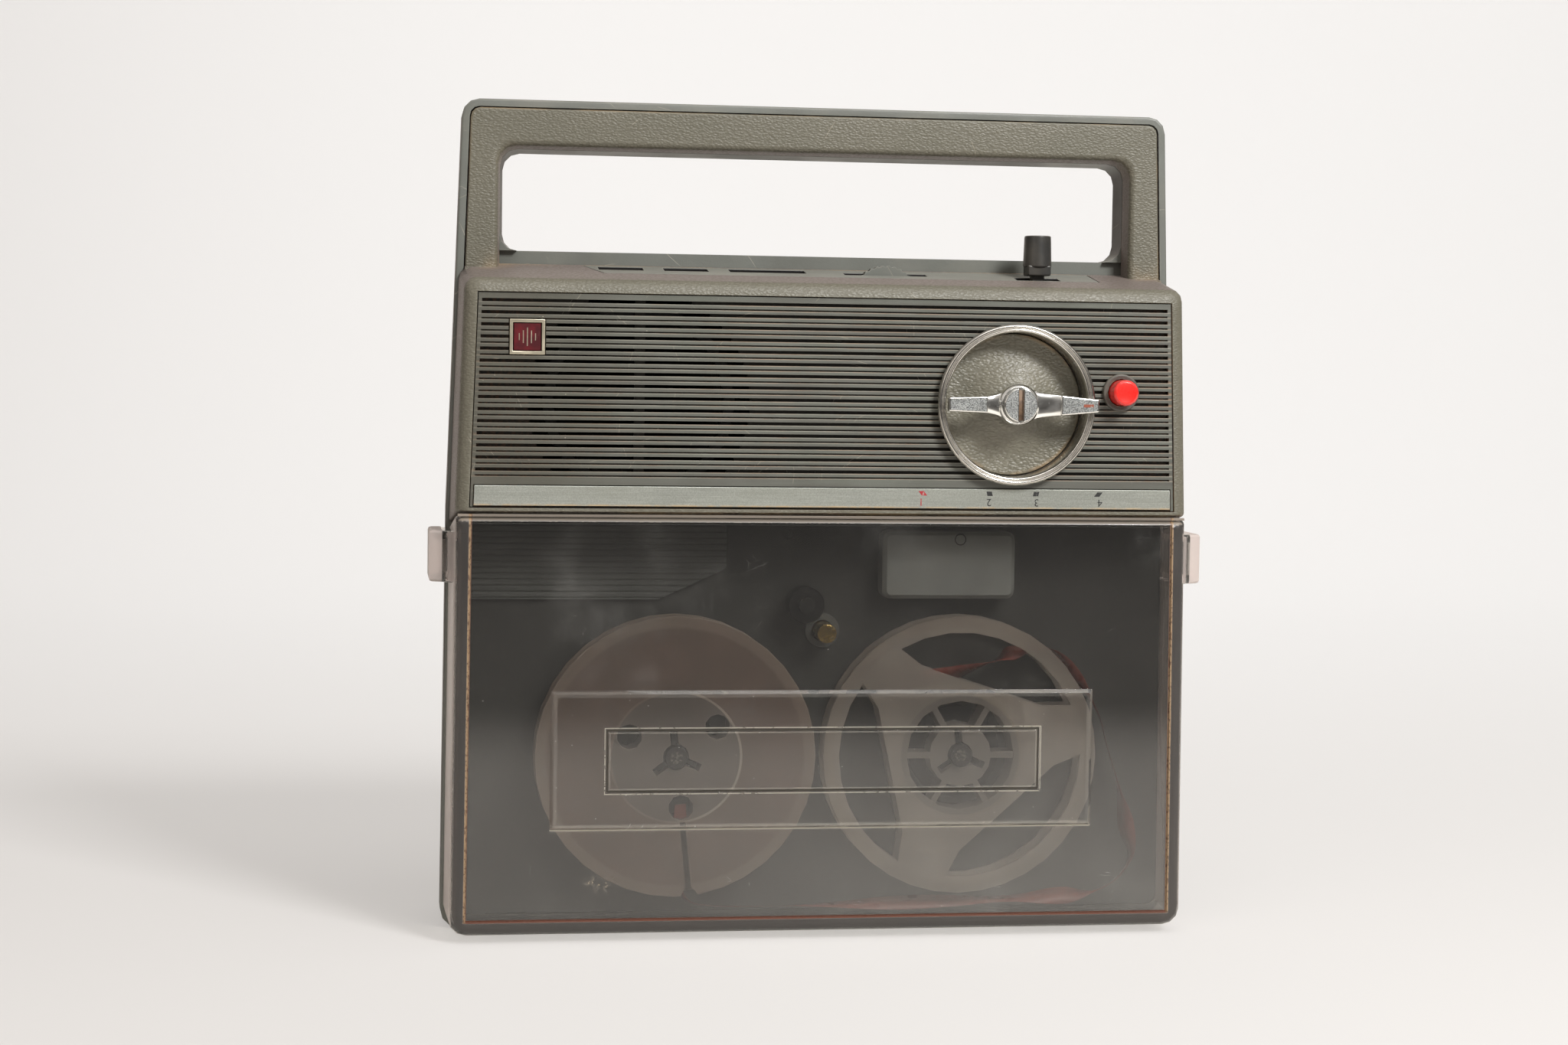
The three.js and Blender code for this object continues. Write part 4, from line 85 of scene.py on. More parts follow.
class Mix:
    """A material, or a world, mixed in few words. Its base is the colour laid so far."""

    def __init__(self, name, owner=None):
        self.owner = owner or bpy.data.materials.new(name)
        self.owner.use_nodes = True
        self.tree = self.owner.node_tree
        self.tree.nodes.clear()
        self.base = None
        self.coordinates = self.add("TexCoord").outputs
        self.place = self.coordinates["Object"]
        self.x, self.y, self.z = self.split(self.place)
        self.facing = self.split(self.coordinates["Normal"])

    def add(self, kind, inputs=None, **settings):
        node = self.tree.nodes.new("ShaderNode" + kind)
        for name, value in settings.items():
            setattr(node, name, value)
        for name, value in (inputs or {}).items():
            self.plug(node.inputs[name], value)
        return node

    def plug(self, socket, value):
        if isinstance(value, bpy.types.NodeSocket):
            self.tree.links.new(value, socket)
        else:
            socket.default_value = value

    def split(self, vector):
        return self.add("SeparateXYZ", {0: vector}).outputs[:]

    def joined(self, x, y, z):
        return self.add("CombineXYZ", {0: x, 1: y, 2: z}).outputs[0]

    def math(self, operation, value, *others):
        """The operation on two values, or on several in turn."""
        for other in others or (0,):
            value = self.add("Math", {0: value, 1: other}, operation=operation).outputs[0]
        return value

    def sum(self, *values):
        return self.math("ADD", *values)

    def minus(self, first, second):
        return self.math("SUBTRACT", first, second)

    def times(self, *values):
        return self.math("MULTIPLY", *values)

    def linear(self, value, slope, start):
        return self.sum(self.times(value, slope), start)

    def size(self, value):
        return self.math("ABSOLUTE", value)

    def more(self, *values):
        return self.math("MAXIMUM", *values)

    def less(self, *values):
        return self.math("MINIMUM", *values)

    def between(self, value, low, high, to_low=0, to_high=1):
        """The value, eased from one range to another."""
        wanted = {"Value": value, "From Min": low, "From Max": high, "To Min": to_low, "To Max": to_high}
        return self.add("MapRange", wanted, interpolation_type="SMOOTHSTEP").outputs[0]

    def fade(self, length, low, high, to_low=0, to_high=1):
        """The same for a length, whose first range is in mm."""
        return self.between(length, low * MM, high * MM, to_low, to_high)

    def at_depth(self, low, high):
        """Share that eases from 0 at one depth to 1 at another, in mm behind the cover's face."""
        return self.between(self.y, FRONT + low * MM, FRONT + high * MM)

    def stretched(self, scale):
        return self.add("Mapping", {0: self.place, "Scale": scale}).outputs[0]

    def noise(self, scale, detail=3, roughness=0.55, vector=None, distortion=0):
        wanted = {"Vector": vector or self.place, "Scale": scale, "Detail": detail}
        wanted.update({"Roughness": roughness, "Distortion": distortion})
        return self.add("TexNoise", wanted).outputs[0]

    def patches(self, scale, detail, low, high, roughness=0.55):
        """Share of soft patches, 1 where the noise is high."""
        return self.between(self.noise(scale, detail, roughness), low, high)

    def wavering(self, vector, scale, detail, reach):
        """The vector, pushed about by soft noise."""
        wander = self.add("TexNoise", {"Vector": vector, "Scale": scale, "Detail": detail}).outputs[1]
        shift = self.add("VectorMath", {0: wander, "Scale": reach}, operation="SCALE").outputs[0]
        return self.add("VectorMath", {0: vector, 1: shift}).outputs[0]

    def blend(self, share, first, second):
        node = self.add("Mix", data_type="RGBA")
        self.plug(node.inputs[0], share)
        self.plug(node.inputs[6], first)
        self.plug(node.inputs[7], second)
        return node.outputs[2]

    def ground(self, pattern, colour, second, low=0.3, high=0.7):
        """Starts the base: two near colours in a soft pattern."""
        self.base = self.blend(self.between(pattern, low, high), colour, second)

    def lay(self, share, strength, colour):
        """Lays a colour over the base."""
        self.base = self.blend(self.times(share, strength), self.base, colour)

    def bump(self, height, distance, strength):
        """Normal bent by a height, with the distance in mm."""
        wanted = {"Height": height, "Distance": distance * MM, "Strength": strength}
        return self.add("Bump", wanted).outputs[0]

    def edges(self, radius, high=0.25):
        """Share of the edges, for wear and for painted highlights: 1 on outer and inner edges, 0 on flat
        faces. Radius in mm.
        """
        rounded = self.add("Bevel", {"Radius": radius * MM}, samples=4).outputs[0]
        flat = self.add("NewGeometry").outputs["Normal"]
        product = self.add("VectorMath", {0: rounded, 1: flat}, operation="DOT_PRODUCT")
        return self.between(self.minus(1, product.outputs["Value"]), 0.02, high)

    def hollows(self, reach):
        """Share of shelter: 1 deep in corners and grooves, 0 on open faces. Reach in mm."""
        shelter = self.add("AmbientOcclusion", {"Distance": reach * MM}, samples=4)
        return self.minus(1, shelter.outputs["AO"])

    def cells(self, scale, vector=None, feature="F1"):
        wanted = {"Vector": vector or self.place, "Scale": scale}
        return self.add("TexVoronoi", wanted, feature=feature)

    def scratches(self, scale, length, width, keep):
        """Fine straight marks, at most one in each cell, turned at random. Length and width in mm."""
        right = self.sum(self.x, self.times(self.y, 0.9))
        up = self.sum(self.z, self.times(self.y, 0.43))
        plane = self.wavering(self.joined(right, up, 0), scale * 0.7, 1, 0.35 / scale)
        found = self.add("TexVoronoi", {"Vector": plane, "Scale": scale}, voronoi_dimensions="2D")
        cell = {0: plane, 1: found.outputs["Position"]}
        local = self.add("VectorMath", cell, operation="SUBTRACT").outputs[0]
        chance, turn, size = self.split(found.outputs["Color"])
        turned_cell = {"Vector": local, "Angle": self.times(turn, math.pi)}
        along = self.add("VectorRotate", turned_cell, rotation_type="Z_AXIS").outputs[0]
        u, v, _ = self.split(along)
        on_line = self.fade(self.size(v), width, 0)
        reach = self.times(size, length * MM)
        in_reach = self.fade(self.minus(reach, self.size(u)), 0, length * 0.4)
        chosen = self.math("LESS_THAN", chance, keep)
        return self.times(on_line, in_reach, chosen)

    def specks(self, scale, size, keep):
        """Small spots, at most one in each cell. Size in mm."""
        found = self.cells(scale)
        chance, growth, _ = self.split(found.outputs["Color"])
        widest = size * MM * scale
        limit = self.times(growth, widest)
        dot = self.between(self.minus(limit, found.outputs["Distance"]), 0, widest * 0.4)
        return self.times(dot, self.math("LESS_THAN", chance, keep))

    def radius_from(self, centre, wide=1):
        """Distance in x and z from a centre given in mm, in a pattern that many times as wide as high."""
        x = self.times(self.minus(self.x, centre[0] * MM), 1 / wide)
        z = self.minus(self.z, centre[1] * MM)
        return self.math("SQRT", self.sum(self.times(x, x), self.times(z, z)))

    def frame_line(self, rectangle, offset, width):
        """A line of that width along a rectangle in the front plane, at that offset outward. In mm."""
        half_width, foot, top = rectangle
        beyond_x = self.minus(self.size(self.x), half_width * MM)
        from_middle = self.size(self.minus(self.z, (foot + top) / 2 * MM))
        beyond_z = self.minus(from_middle, (top - foot) / 2 * MM)
        away = self.size(self.minus(self.more(beyond_x, beyond_z), offset * MM))
        return self.fade(away, width / 2 + 0.08, width / 2 - 0.04)

    def dusty(self, amount):
        """Adds dust that settles in patches, more on faces that look up."""
        up = self.between(self.facing[2], 0.2, 0.95)
        patches = self.patches(60, 4, 0.45, 0.75)
        self.lay(self.sum(self.times(up, 0.6), self.times(patches, 0.5)), amount, DUST)

    def surface(self, **inputs):
        shader = self.add("BsdfPrincipled", {"Base Color": self.base})
        for name, value in inputs.items():
            self.plug(shader.inputs[name.replace("_", " ")], value)
        return shader.outputs[0]

    def output(self, shader):
        self.add("OutputMaterial", {"Surface": shader})
        return self.owner

    def done(self, **inputs):
        return self.output(self.surface(**inputs))


# Colours of the object.

GRAIN = rgb(98, 94, 81)
GRAIN_CREASE = rgb(82, 78, 66)
GRAIN_WEAR_AND_HIGHLIGHT = rgb(120, 117, 104)
SIDE_PINK = rgb(104, 94, 89)
SHELL = rgb(98, 100, 94)
SHELL_SIDE_SHADE = rgb(46, 41, 38)
RIB = rgb(84, 83, 77)
GROOVE_SHADE = rgb(46, 42, 34)
RUST = rgb(150, 96, 52)
TAN = rgb(164, 138, 104)
DUST = rgb(176, 166, 148)
STRIP = rgb(190, 193, 186)
DECK = rgb(71, 71, 69)
REEL = rgb(140, 120, 111)
SMOKE = rgb(170, 168, 165)


def grain_height(mix, scale):
    """Soft pebbles and creases of leather grain, a little longer across than up."""
    moved = mix.wavering(mix.place, scale * 0.4, 2, 0.9 / scale)
    squeezed = mix.add("Mapping", {0: moved, "Scale": (0.7, 1, 1.25)}).outputs[0]
    found = mix.cells(scale, squeezed, feature="SMOOTH_F1")
    mix.plug(found.inputs["Smoothness"], 0.5)
    crease = mix.between(found.outputs["Distance"], 0.2, 0.75)
    wrinkle = mix.noise(scale * 0.8, 2, 0.5, vector=squeezed, distortion=1)
    height = mix.sum(mix.times(crease, -0.7), mix.times(wrinkle, 0.8))
    return height, crease


def leather_material():
    """Grained front faces, smoother pinkish sides, edges lighter for wear and a painted highlight, and tan
    dirt in the corners.
    """
    mix = Mix("leather_grain")
    height, crease = grain_height(mix, 1500)
    front = mix.between(mix.times(mix.facing[1], -1), 0.12, 0.35)
    patch = mix.noise(30, 4)
    mix.ground(patch, GRAIN, rgb(92, 89, 76))
    mix.lay(crease, 0.5, GRAIN_CREASE)
    # Edges lighter in patches: wear, and a painted highlight.
    wear_and_highlight = mix.times(mix.edges(1.6), mix.patches(140, 4, 0.35, 0.7))
    mix.lay(wear_and_highlight, 0.42, GRAIN_WEAR_AND_HIGHLIGHT)
    side = mix.blend(mix.patches(900, 2, 0.35, 0.65), SIDE_PINK, rgb(99, 89, 84))
    mix.base = mix.blend(front, side, mix.base)
    mix.lay(mix.times(mix.hollows(7), mix.patches(45, 3, 0.42, 0.62)), 0.9, TAN)
    mix.lay(mix.scratches(70, 6, 0.1, 0.25), 0.5, DUST)
    fine = mix.noise(1500, 2)
    relief = mix.sum(mix.times(height, front), mix.times(fine, 0.22))
    uneven = mix.sum(mix.times(crease, 0.6), mix.times(patch, 0.4))
    return mix.done(
        Roughness=mix.between(uneven, 0, 1, 0.4, 0.6),
        Normal=mix.bump(relief, 0.11, 0.9),
        Specular_IOR_Level=0.5,
    )


def shell_material(name, dark_walls=False):
    """Smooth dark moulding whose faces that look sideways are painted dark for shade. With dark walls, the
    walls of its openings lie in shadow.
    """
    mix = Mix(name)
    mix.ground(mix.noise(35, 5), SHELL, rgb(92, 93, 87))
    # Painted shade: faces that look sideways turn dark.
    mix.lay(mix.between(mix.size(mix.facing[0]), 0.6, 0.95), 0.92, SHELL_SIDE_SHADE)
    mix.lay(mix.times(mix.edges(1), mix.patches(90, 5, 0.4, 0.68)), 0.5, rgb(140, 138, 128))
    marks = mix.more(mix.scratches(55, 9, 0.12, 0.35), mix.scratches(120, 4, 0.08, 0.3))
    mix.lay(marks, 0.45, DUST)
    mix.lay(mix.specks(260, 0.35, 0.12), 0.6, DUST)
    mix.dusty(0.14)
    if dark_walls:
        upright = mix.between(mix.size(mix.facing[2]), 0.75, 0.45)
        mix.base = mix.blend(upright, mix.base, rgb(16, 14, 14))
    relief = mix.sum(mix.noise(1400, 3), mix.times(marks, -0.6))
    roughness = mix.between(mix.noise(50, 5), 0.3, 0.7, 0.36, 0.52)
    return mix.done(Roughness=roughness, Normal=mix.bump(relief, 0.05, 0.7))


def panel_material():
    """The grille's bars: a painted highlight along their upper edges and painted shade along their lower
    edges, grooves painted dark for shade and rusty, and dirt that gathers at both ends.
    """
    mix = Mix("ribbed_panel")
    mix.ground(mix.noise(1, 4, vector=mix.stretched((18, 300, 600))), RIB, rgb(92, 94, 86))
    outer = mix.at_depth(0.5, 0.3)
    below_top = mix.minus(RIB_TOP * MM, mix.z)
    in_bars = mix.times(mix.fade(below_top, 0.6, 0.9), mix.fade(below_top, 51.3, 50.9))
    on_bars = mix.times(outer, in_bars)

    # Distance below the groove above each bar. Grooves are wide and narrow by turns.
    half_pitch = RIB_PITCH * MM / 2
    shifted = mix.sum(below_top, half_pitch / 2)
    step = mix.math("MODULO", shifted, half_pitch)
    odd = mix.math("GREATER_THAN", mix.math("MODULO", shifted, 2 * half_pitch), half_pitch)
    groove_half = mix.minus(0.475 * MM, mix.times(mix.minus(1, odd), 0.25 * MM))
    under = mix.minus(step, groove_half)

    # Painted highlight along each bar's upper edge, stronger and weaker in patches.
    highlight_line = mix.times(mix.fade(under, -0.2, 0), mix.fade(under, 0.34, 0.16))
    highlight_strength = mix.between(mix.noise(160, 4), 0.25, 0.6, 0.45, 1)
    mix.lay(mix.times(highlight_line, highlight_strength, on_bars), 0.75, rgb(168, 164, 150))
    # Painted shade along each bar's lower edge.
    mix.lay(mix.times(mix.fade(under, 0.75, 1.15), on_bars), 0.6, rgb(62, 59, 52))
    near_groove = mix.times(mix.fade(under, 0.3, 0.05), on_bars)
    mix.lay(mix.times(mix.patches(55, 5, 0.42, 0.62, 0.7), near_groove), 0.7, rgb(146, 98, 58))
    # Darker towards the left end.
    mix.lay(mix.fade(mix.x, -45, -92), 0.6, rgb(70, 66, 56))

    # Painted shade: the grooves turn dark with depth.
    depth = mix.at_depth(0.6, 1.5)
    mix.base = mix.blend(depth, mix.base, GROOVE_SHADE)
    patches = mix.patches(24, 4, 0.3, 0.56)
    gritty = mix.patches(900, 3, 0.35, 0.7)
    ends = mix.fade(mix.x, -60, -103, 0.3, 1)
    ends = mix.more(ends, mix.fade(mix.x, 60, 104, 0.3, 0.9))
    shallow = mix.times(mix.at_depth(0.42, 0.6), mix.minus(1, depth))
    mix.lay(mix.times(shallow, patches, gritty, ends), 0.9, RUST)
    deep = mix.times(depth, gritty, mix.between(ends, 0.55, 1))
    mix.lay(deep, 0.5, rgb(110, 74, 44))
    marks = mix.more(mix.scratches(60, 7, 0.09, 0.4), mix.scratches(140, 3, 0.08, 0.4))
    mix.lay(marks, 0.5, DUST)
    mix.lay(mix.specks(300, 0.3, 0.15), 0.6, DUST)
    roughness = mix.between(mix.noise(60, 4), 0.3, 0.7, 0.34, 0.5)
    return mix.done(Roughness=roughness, Normal=mix.bump(mix.noise(1600, 2), 0.03, 0.6))


def strip_material():
    """Metal brushed lengthwise, mottled, with a stained lower rim."""
    mix = Mix("brushed_strip")
    brushed = mix.noise(1, 5, 0.7, vector=mix.stretched((60, 900, 7000)))
    mottled = mix.noise(90, 5, 0.6, vector=mix.stretched((0.5, 1, 1.5)))
    mix.ground(brushed, STRIP, rgb(166, 168, 160))
    mix.lay(mix.between(mottled, 0.45, 0.75), 0.5, rgb(142, 143, 134))
    mix.lay(mix.patches(2600, 3, 0.35, 0.65), 0.45, rgb(138, 142, 132))
    rim = mix.times(mix.fade(mix.z, 127.2, 126.7), mix.patches(300, 4, 0.3, 0.6))
    mix.lay(rim, 0.7, rgb(172, 142, 96))
    mix.lay(mix.scratches(90, 5, 0.08, 0.4), 0.4, rgb(225, 225, 218))
    return mix.done(
        Metallic=mix.minus(0.75, mix.times(rim, 0.6)),
        Roughness=mix.between(mottled, 0.3, 0.7, 0.42, 0.55),
        Normal=mix.bump(brushed, 0.02, 0.8),
        Anisotropic=0.5,
    )


def frosted_material():
    """Chrome with a blasted face, as on the flats of the selector's lever."""
    mix = Mix("frosted_chrome")
    grain = mix.patches(2600, 2, 0.36, 0.62, 0.6)
    mix.base = mix.blend(grain, rgb(104, 106, 106), rgb(196, 198, 196))
    mix.lay(mix.patches(600, 4, 0.35, 0.7), 0.45, rgb(120, 122, 120))
    return mix.done(Metallic=0.85, Roughness=0.36, Normal=mix.bump(grain, 0.03, 0.8))


def metal(name, colour, rough, grime=0.35):
    """Polished metal with grime in its hollows, dirt spots and fine marks that only dull it."""
    mix = Mix(name)
    worn = rgb(120, 108, 90)
    patches = mix.patches(220, 5, 0.5, 0.72)
    dirt = mix.times(mix.more(mix.times(patches, 0.4), mix.hollows(1.5)), grime)
    mix.base = mix.blend(dirt, colour, worn)
    mix.lay(mix.specks(900, 0.2, 0.2), grime, worn)
    marks = mix.scratches(260, 2.5, 0.05, 0.5)
    spread = mix.sum(mix.times(mix.noise(400, 3), 0.12), mix.times(marks, 0.25))
    return mix.done(
        Metallic=mix.minus(1, mix.times(dirt, 0.7)),
        Roughness=mix.sum(spread, mix.times(dirt, 0.4), rough),
        Normal=mix.bump(mix.noise(500, 2), 0.01, 0.5),
    )


def plastic(name, colour, second, rough, bump=0.03, scale=120, dust=0.2, coat=0):
    """Moulded plastic in two near colours, with scratches, specks and dust."""
    mix = Mix(name)
    mix.ground(mix.noise(scale, 4), colour, second)
    mix.lay(mix.scratches(150, 3, 0.07, 0.35), 0.3, DUST)
    mix.lay(mix.specks(400, 0.25, 0.15), 0.5, DUST)
    mix.dusty(dust)
    return mix.done(
        Roughness=mix.linear(mix.noise(180, 3), 0.14, rough),
        Normal=mix.bump(mix.noise(1300, 2), bump, 0.6),
        Coat_Weight=coat,
    )


def dish_material():
    """Leather grain of the selector's dish, tan with dirt along its edge."""
    mix = Mix("dish_grain")
    height, crease = grain_height(mix, 1250)
    mix.ground(mix.noise(90, 4), rgb(106, 103, 90), rgb(116, 112, 98))
    mix.lay(crease, 0.5, rgb(92, 88, 76))
    at_edge = mix.fade(mix.radius_from(SELECTOR), 19.2, 20.6)
    mix.lay(mix.times(at_edge, mix.patches(120, 4, 0.4, 0.65)), 0.6, TAN)
    return mix.done(Roughness=0.4, Normal=mix.bump(height, 0.19, 0.9))


def reel_material(name, centre, colour, second, clear, hub, hub_colour):
    """Milky reel plastic with painted light: paler at the rim for a painted glow, a painted highlight round
    the hub that grows towards the lit right side, and painted highlights on its edges.
    """
    mix = Mix(name)
    mix.ground(mix.noise(70, 4), colour, second)
    from_centre = mix.radius_from(centre)
    mix.lay(mix.fade(from_centre, hub, hub - 0.6), 0.6, hub_colour)
    # Painted glow at the rim.
    mix.lay(mix.fade(from_centre, 37.2, 38.6), 0.3, rgb(190, 176, 160))
    # Painted highlight round the hub, stronger on the lit right side.
    lit_side = mix.fade(mix.x, centre[0] - 6, centre[0] + 14)
    ring = mix.fade(mix.size(mix.minus(from_centre, hub * MM)), 0.5, 0.2)
    mix.lay(ring, mix.linear(lit_side, 0.6, 0.2), rgb(214, 202, 186))
    mix.lay(mix.scratches(80, 8, 0.1, 0.4), 0.3, DUST)
    # Painted highlights on the edges.
    mix.lay(mix.edges(0.8, 0.2), 0.5, rgb(206, 190, 176))
    normal = mix.bump(mix.noise(300, 2), 0.02, 0.5)
    return mix.done(Roughness=0.3, Normal=normal, Transmission_Weight=clear, IOR=1.45)


def spindle_material():
    """Black cap with a rough, dusty middle."""
    mix = Mix("spindle_cap")
    near = mix.less(mix.radius_from(TAKEUP), mix.radius_from(SUPPLY))
    rough_middle = mix.fade(near, 2.1, 1.7)
    speckle = mix.patches(1500, 2, 0.46, 0.6)
    mix.base = rgb(14, 12, 12)
    mix.lay(rough_middle, speckle, rgb(120, 112, 104))
    normal = mix.bump(mix.times(speckle, rough_middle), 0.1, 0.8)
    return mix.done(Roughness=0.5, Specular_IOR_Level=0.3, Normal=normal)


def cover_material():
    """Smoky clear plastic. Everything painted on it, dirt and painted light alike, takes away from its
    clearness.
    """
    mix = Mix("smoky_clear")
    across = mix.size(mix.x)
    in_plate = mix.at_depth(1.1, 0.9)
    grit = mix.patches(500, 4, 0.25, 0.55)
    fleck = mix.patches(1100, 2, 0.5, 0.62)

    # The groove near the border, filled with dust.
    side_line = mix.minus(103.9 * MM, mix.times(mix.z, 0.008))
    beyond_side = mix.minus(across, side_line)
    above_foot = mix.minus(mix.z, 6.8 * MM)
    along_side = mix.times(mix.fade(mix.size(beyond_side), 0.55, 0.35), mix.fade(above_foot, -0.5, 0))
    along_foot = mix.times(mix.fade(mix.size(above_foot), 0.5, 0.3), mix.fade(beyond_side, 0.6, 0.2))
    line = mix.times(mix.more(along_side, along_foot), in_plate)
    gold = mix.blend(fleck, rgb(142, 118, 90), rgb(88, 64, 46))
    gold = mix.blend(mix.fade(beyond_side, -0.1, -0.45), gold, rgb(92, 52, 36))
    rust = mix.times(line, mix.linear(grit, 0.35, 0.6))

    # Border outside the groove, darker, and the paler lip under the strip with a pale line at its lower edge.
    border = mix.more(mix.fade(beyond_side, 0.3, 0.7), mix.fade(above_foot, -0.3, -0.7))
    border = mix.less(border, in_plate)
    darker_border = mix.times(border, mix.linear(mix.noise(90, 4), 0.2, 0.3))
    lip = mix.times(mix.fade(mix.z, 121.9, 122.2), in_plate)
    from_edge = mix.size(mix.minus(mix.z, 121.95 * MM))
    lip_edge = mix.times(mix.fade(from_edge, 0.2, 0.08), in_plate)
    lip_share = mix.sum(mix.times(lip, 0.62), mix.times(lip_edge, mix.linear(fleck, 0.2, 0.1)))

    # Scratches in clusters, specks, rubbed patches, a painted reflection of the floor that grows towards the
    # bottom and the right, and one dried smear.
    hair = mix.times(mix.scratches(45, 8, 0.055, 0.25), 0.7)
    hair = mix.more(hair, mix.scratches(130, 3, 0.055, 0.45), mix.scratches(300, 1.6, 0.055, 0.7))
    hair = mix.times(hair, mix.between(mix.noise(75, 4, 0.6), 0.38, 0.7, 0.12, 1))
    dots = mix.more(mix.specks(170, 0.35, 0.2), mix.specks(420, 0.22, 0.3))
    rubbed = mix.patches(28, 6, 0.52, 0.82, 0.65)
    # Painted reflection of the floor, paler towards the bottom and the right.
    floor_reflection = mix.times(mix.fade(mix.z, 64, 8), mix.fade(mix.x, -75, 25, 0.25, 1))
    haze_and_reflection = mix.sum(mix.linear(rubbed, 0.08, 0.022), mix.times(floor_reflection, 0.075))
    # The marks carry the rubbed haze and the painted reflection.
    marks = mix.sum(mix.times(hair, 0.34), mix.times(dots, 0.6), haze_and_reflection)
    marks = mix.less(marks, 0.9)
    near_smear = mix.fade(mix.radius_from((-65, 17.6), 1.8), 4, 0.8)
    smear = mix.times(near_smear, mix.patches(520, 6, 0.5, 0.72, 0.7), 0.55)

    # Edges of the raised panel, pale, with a painted reflection of the floor as a bright line along its lower
    # edge; and the plaque's groove: dark, with a pale line on each side.
    forward = mix.at_depth(0.3, -0.1)
    panel_edge = mix.times(mix.frame_line(RAISED_PANEL, -0.8, 1.5), 0.09)
    low_slope = mix.times(mix.fade(mix.z, 35.2, 34.2), mix.fade(mix.z, 32.4, 32.8))
    # Painted reflection of the floor along the panel's lower edge.
    reflection_line = mix.fade(mix.size(mix.minus(mix.z, 33.1 * MM)), 0.3, 0.12)
    low_edge = mix.more(mix.times(low_slope, 0.22), mix.times(reflection_line, 0.9))
    panel_edge = mix.more(panel_edge, mix.times(mix.fade(across, 80, 79.4), low_edge))
    inner_line = mix.times(mix.frame_line(PLAQUE, -1.1, 0.3), 0.6)
    pale_line = mix.more(mix.frame_line(PLAQUE, 0.3, 0.3), inner_line)
    pale_line = mix.times(pale_line, mix.linear(grit, 0.2, 0.2))
    dark_line = mix.times(mix.frame_line(PLAQUE, -0.4, 0.5), 0.75, forward)
    trim = mix.times(mix.more(panel_edge, pale_line), forward)

    # Frosting of the two tabs, and a painted glow on the side walls: paler and less clear, for light gathered
    # in the clear plastic's edges.
    tab = mix.times(mix.fade(across, 110.4, 111), 0.55)
    sideways = mix.between(mix.size(mix.facing[0]), 0.75, 0.92)
    # Painted glow on the side walls.
    wall = mix.times(sideways, mix.fade(across, 106, 107), 0.42)
    frosting_and_glow = mix.more(tab, wall)

    # Everything that takes away clearness: dirt and wear, with the painted reflection and glow.
    dirt = mix.sum(marks, rust, darker_border, lip_share, trim, smear, dark_line, frosting_and_glow)
    dirt = mix.less(dirt, 0.97)
    mix.base = SMOKE
    layers = [
        (marks, 2, rgb(176, 174, 166)),
        (darker_border, 3, rgb(74, 70, 67)),
        (trim, 3, rgb(188, 182, 168)),
        (smear, 2.5, rgb(150, 132, 104)),
        (dark_line, 1.4, rgb(52, 47, 38)),
        (frosting_and_glow, 2.5, rgb(208, 196, 190)),
        (lip, 1, rgb(124, 114, 103)),
        (mix.times(lip_edge, fleck), 1, rgb(146, 138, 126)),
        (line, 1.2, gold),
    ]
    for share, gain, colour in layers:
        mix.base = mix.blend(mix.less(mix.times(share, gain), 1), mix.base, colour)
    glass = mix.surface(
        Roughness=mix.times(mix.between(dirt, 0.06, 0.6), 0.5),
        Transmission_Weight=mix.minus(1, dirt),
        IOR=1.49,
    )
    through = mix.add("BsdfTransparent", {"Color": rgb(205, 205, 203)}).outputs[0]
    lamp_ray = mix.add("LightPath").outputs["Is Shadow Ray"]
    return mix.output(mix.add("MixShader", {0: lamp_ray, 1: glass, 2: through}).outputs[0])


def deck_material():
    """Smooth dark plate whose raised parts are a little lighter."""
    mix = Mix("deck")
    mix.ground(mix.noise(60, 4), DECK, rgb(63, 63, 61))
    mix.lay(mix.at_depth(21.3, 20.9), 0.8, rgb(104, 106, 104))
    mix.lay(mix.specks(400, 0.25, 0.15), 0.4, DUST)
    normal = mix.bump(mix.noise(1300, 2), 0.03, 0.6)
    return mix.done(Roughness=mix.linear(mix.noise(180, 3), 0.14, 0.38), Normal=normal)


def badge_material():
    """Dark red lacquer, worn in a few spots."""
    mix = Mix("badge_plate")
    mix.ground(mix.noise(300, 5), rgb(84, 9, 18), rgb(60, 6, 13), 0.35, 0.65)
    mix.lay(mix.patches(700, 4, 0.62, 0.75), 0.2, rgb(130, 90, 84))
    return mix.done(Roughness=0.55, Specular_IOR_Level=0.25)


def printing(name, colour):
    """Printed ink, rubbed pale in patches."""
    mix = Mix(name)
    mix.ground(mix.noise(900, 3), colour, rgb(150, 152, 145), 0.55, 0.75)
    return mix.done(Roughness=0.5)


leather = leather_material()
shell = shell_material("case_shell")
plate_shell = shell_material("plate_shell", dark_walls=True)
panel = panel_material()
strip = strip_material()
chrome = metal("chrome", rgb(222, 222, 219), 0.09, grime=0.3)
frosted = frosted_material()
ring_chrome = metal("ring_chrome", rgb(190, 187, 181), 0.15, grime=0.6)
steel = metal("steel", rgb(170, 168, 162), 0.28)
brass = metal("brass", rgb(206, 176, 110), 0.2)
badge_rim = metal("badge_frame", rgb(214, 206, 184), 0.3, grime=0.7)
badge = badge_material()
red = plastic("red_button", rgb(226, 38, 30), rgb(214, 30, 24), 0.2, bump=0.01, dust=0.08, coat=0.3)
black = plastic("black_plastic", rgb(34, 34, 33), rgb(26, 26, 26), 0.3)
socket_black = plastic("socket_black", rgb(13, 12, 12), rgb(9, 9, 9), 0.9, dust=0)
switch_black = plastic("switch_plastic", rgb(40, 40, 39), rgb(30, 30, 30), 0.26)
paper = plastic("speaker_paper", rgb(26, 24, 22), rgb(20, 19, 18), 0.85, bump=0.1, scale=400)
deck = deck_material()
cover_grey = plastic("head_cover_grey", rgb(146, 148, 145), rgb(136, 138, 135), 0.4)
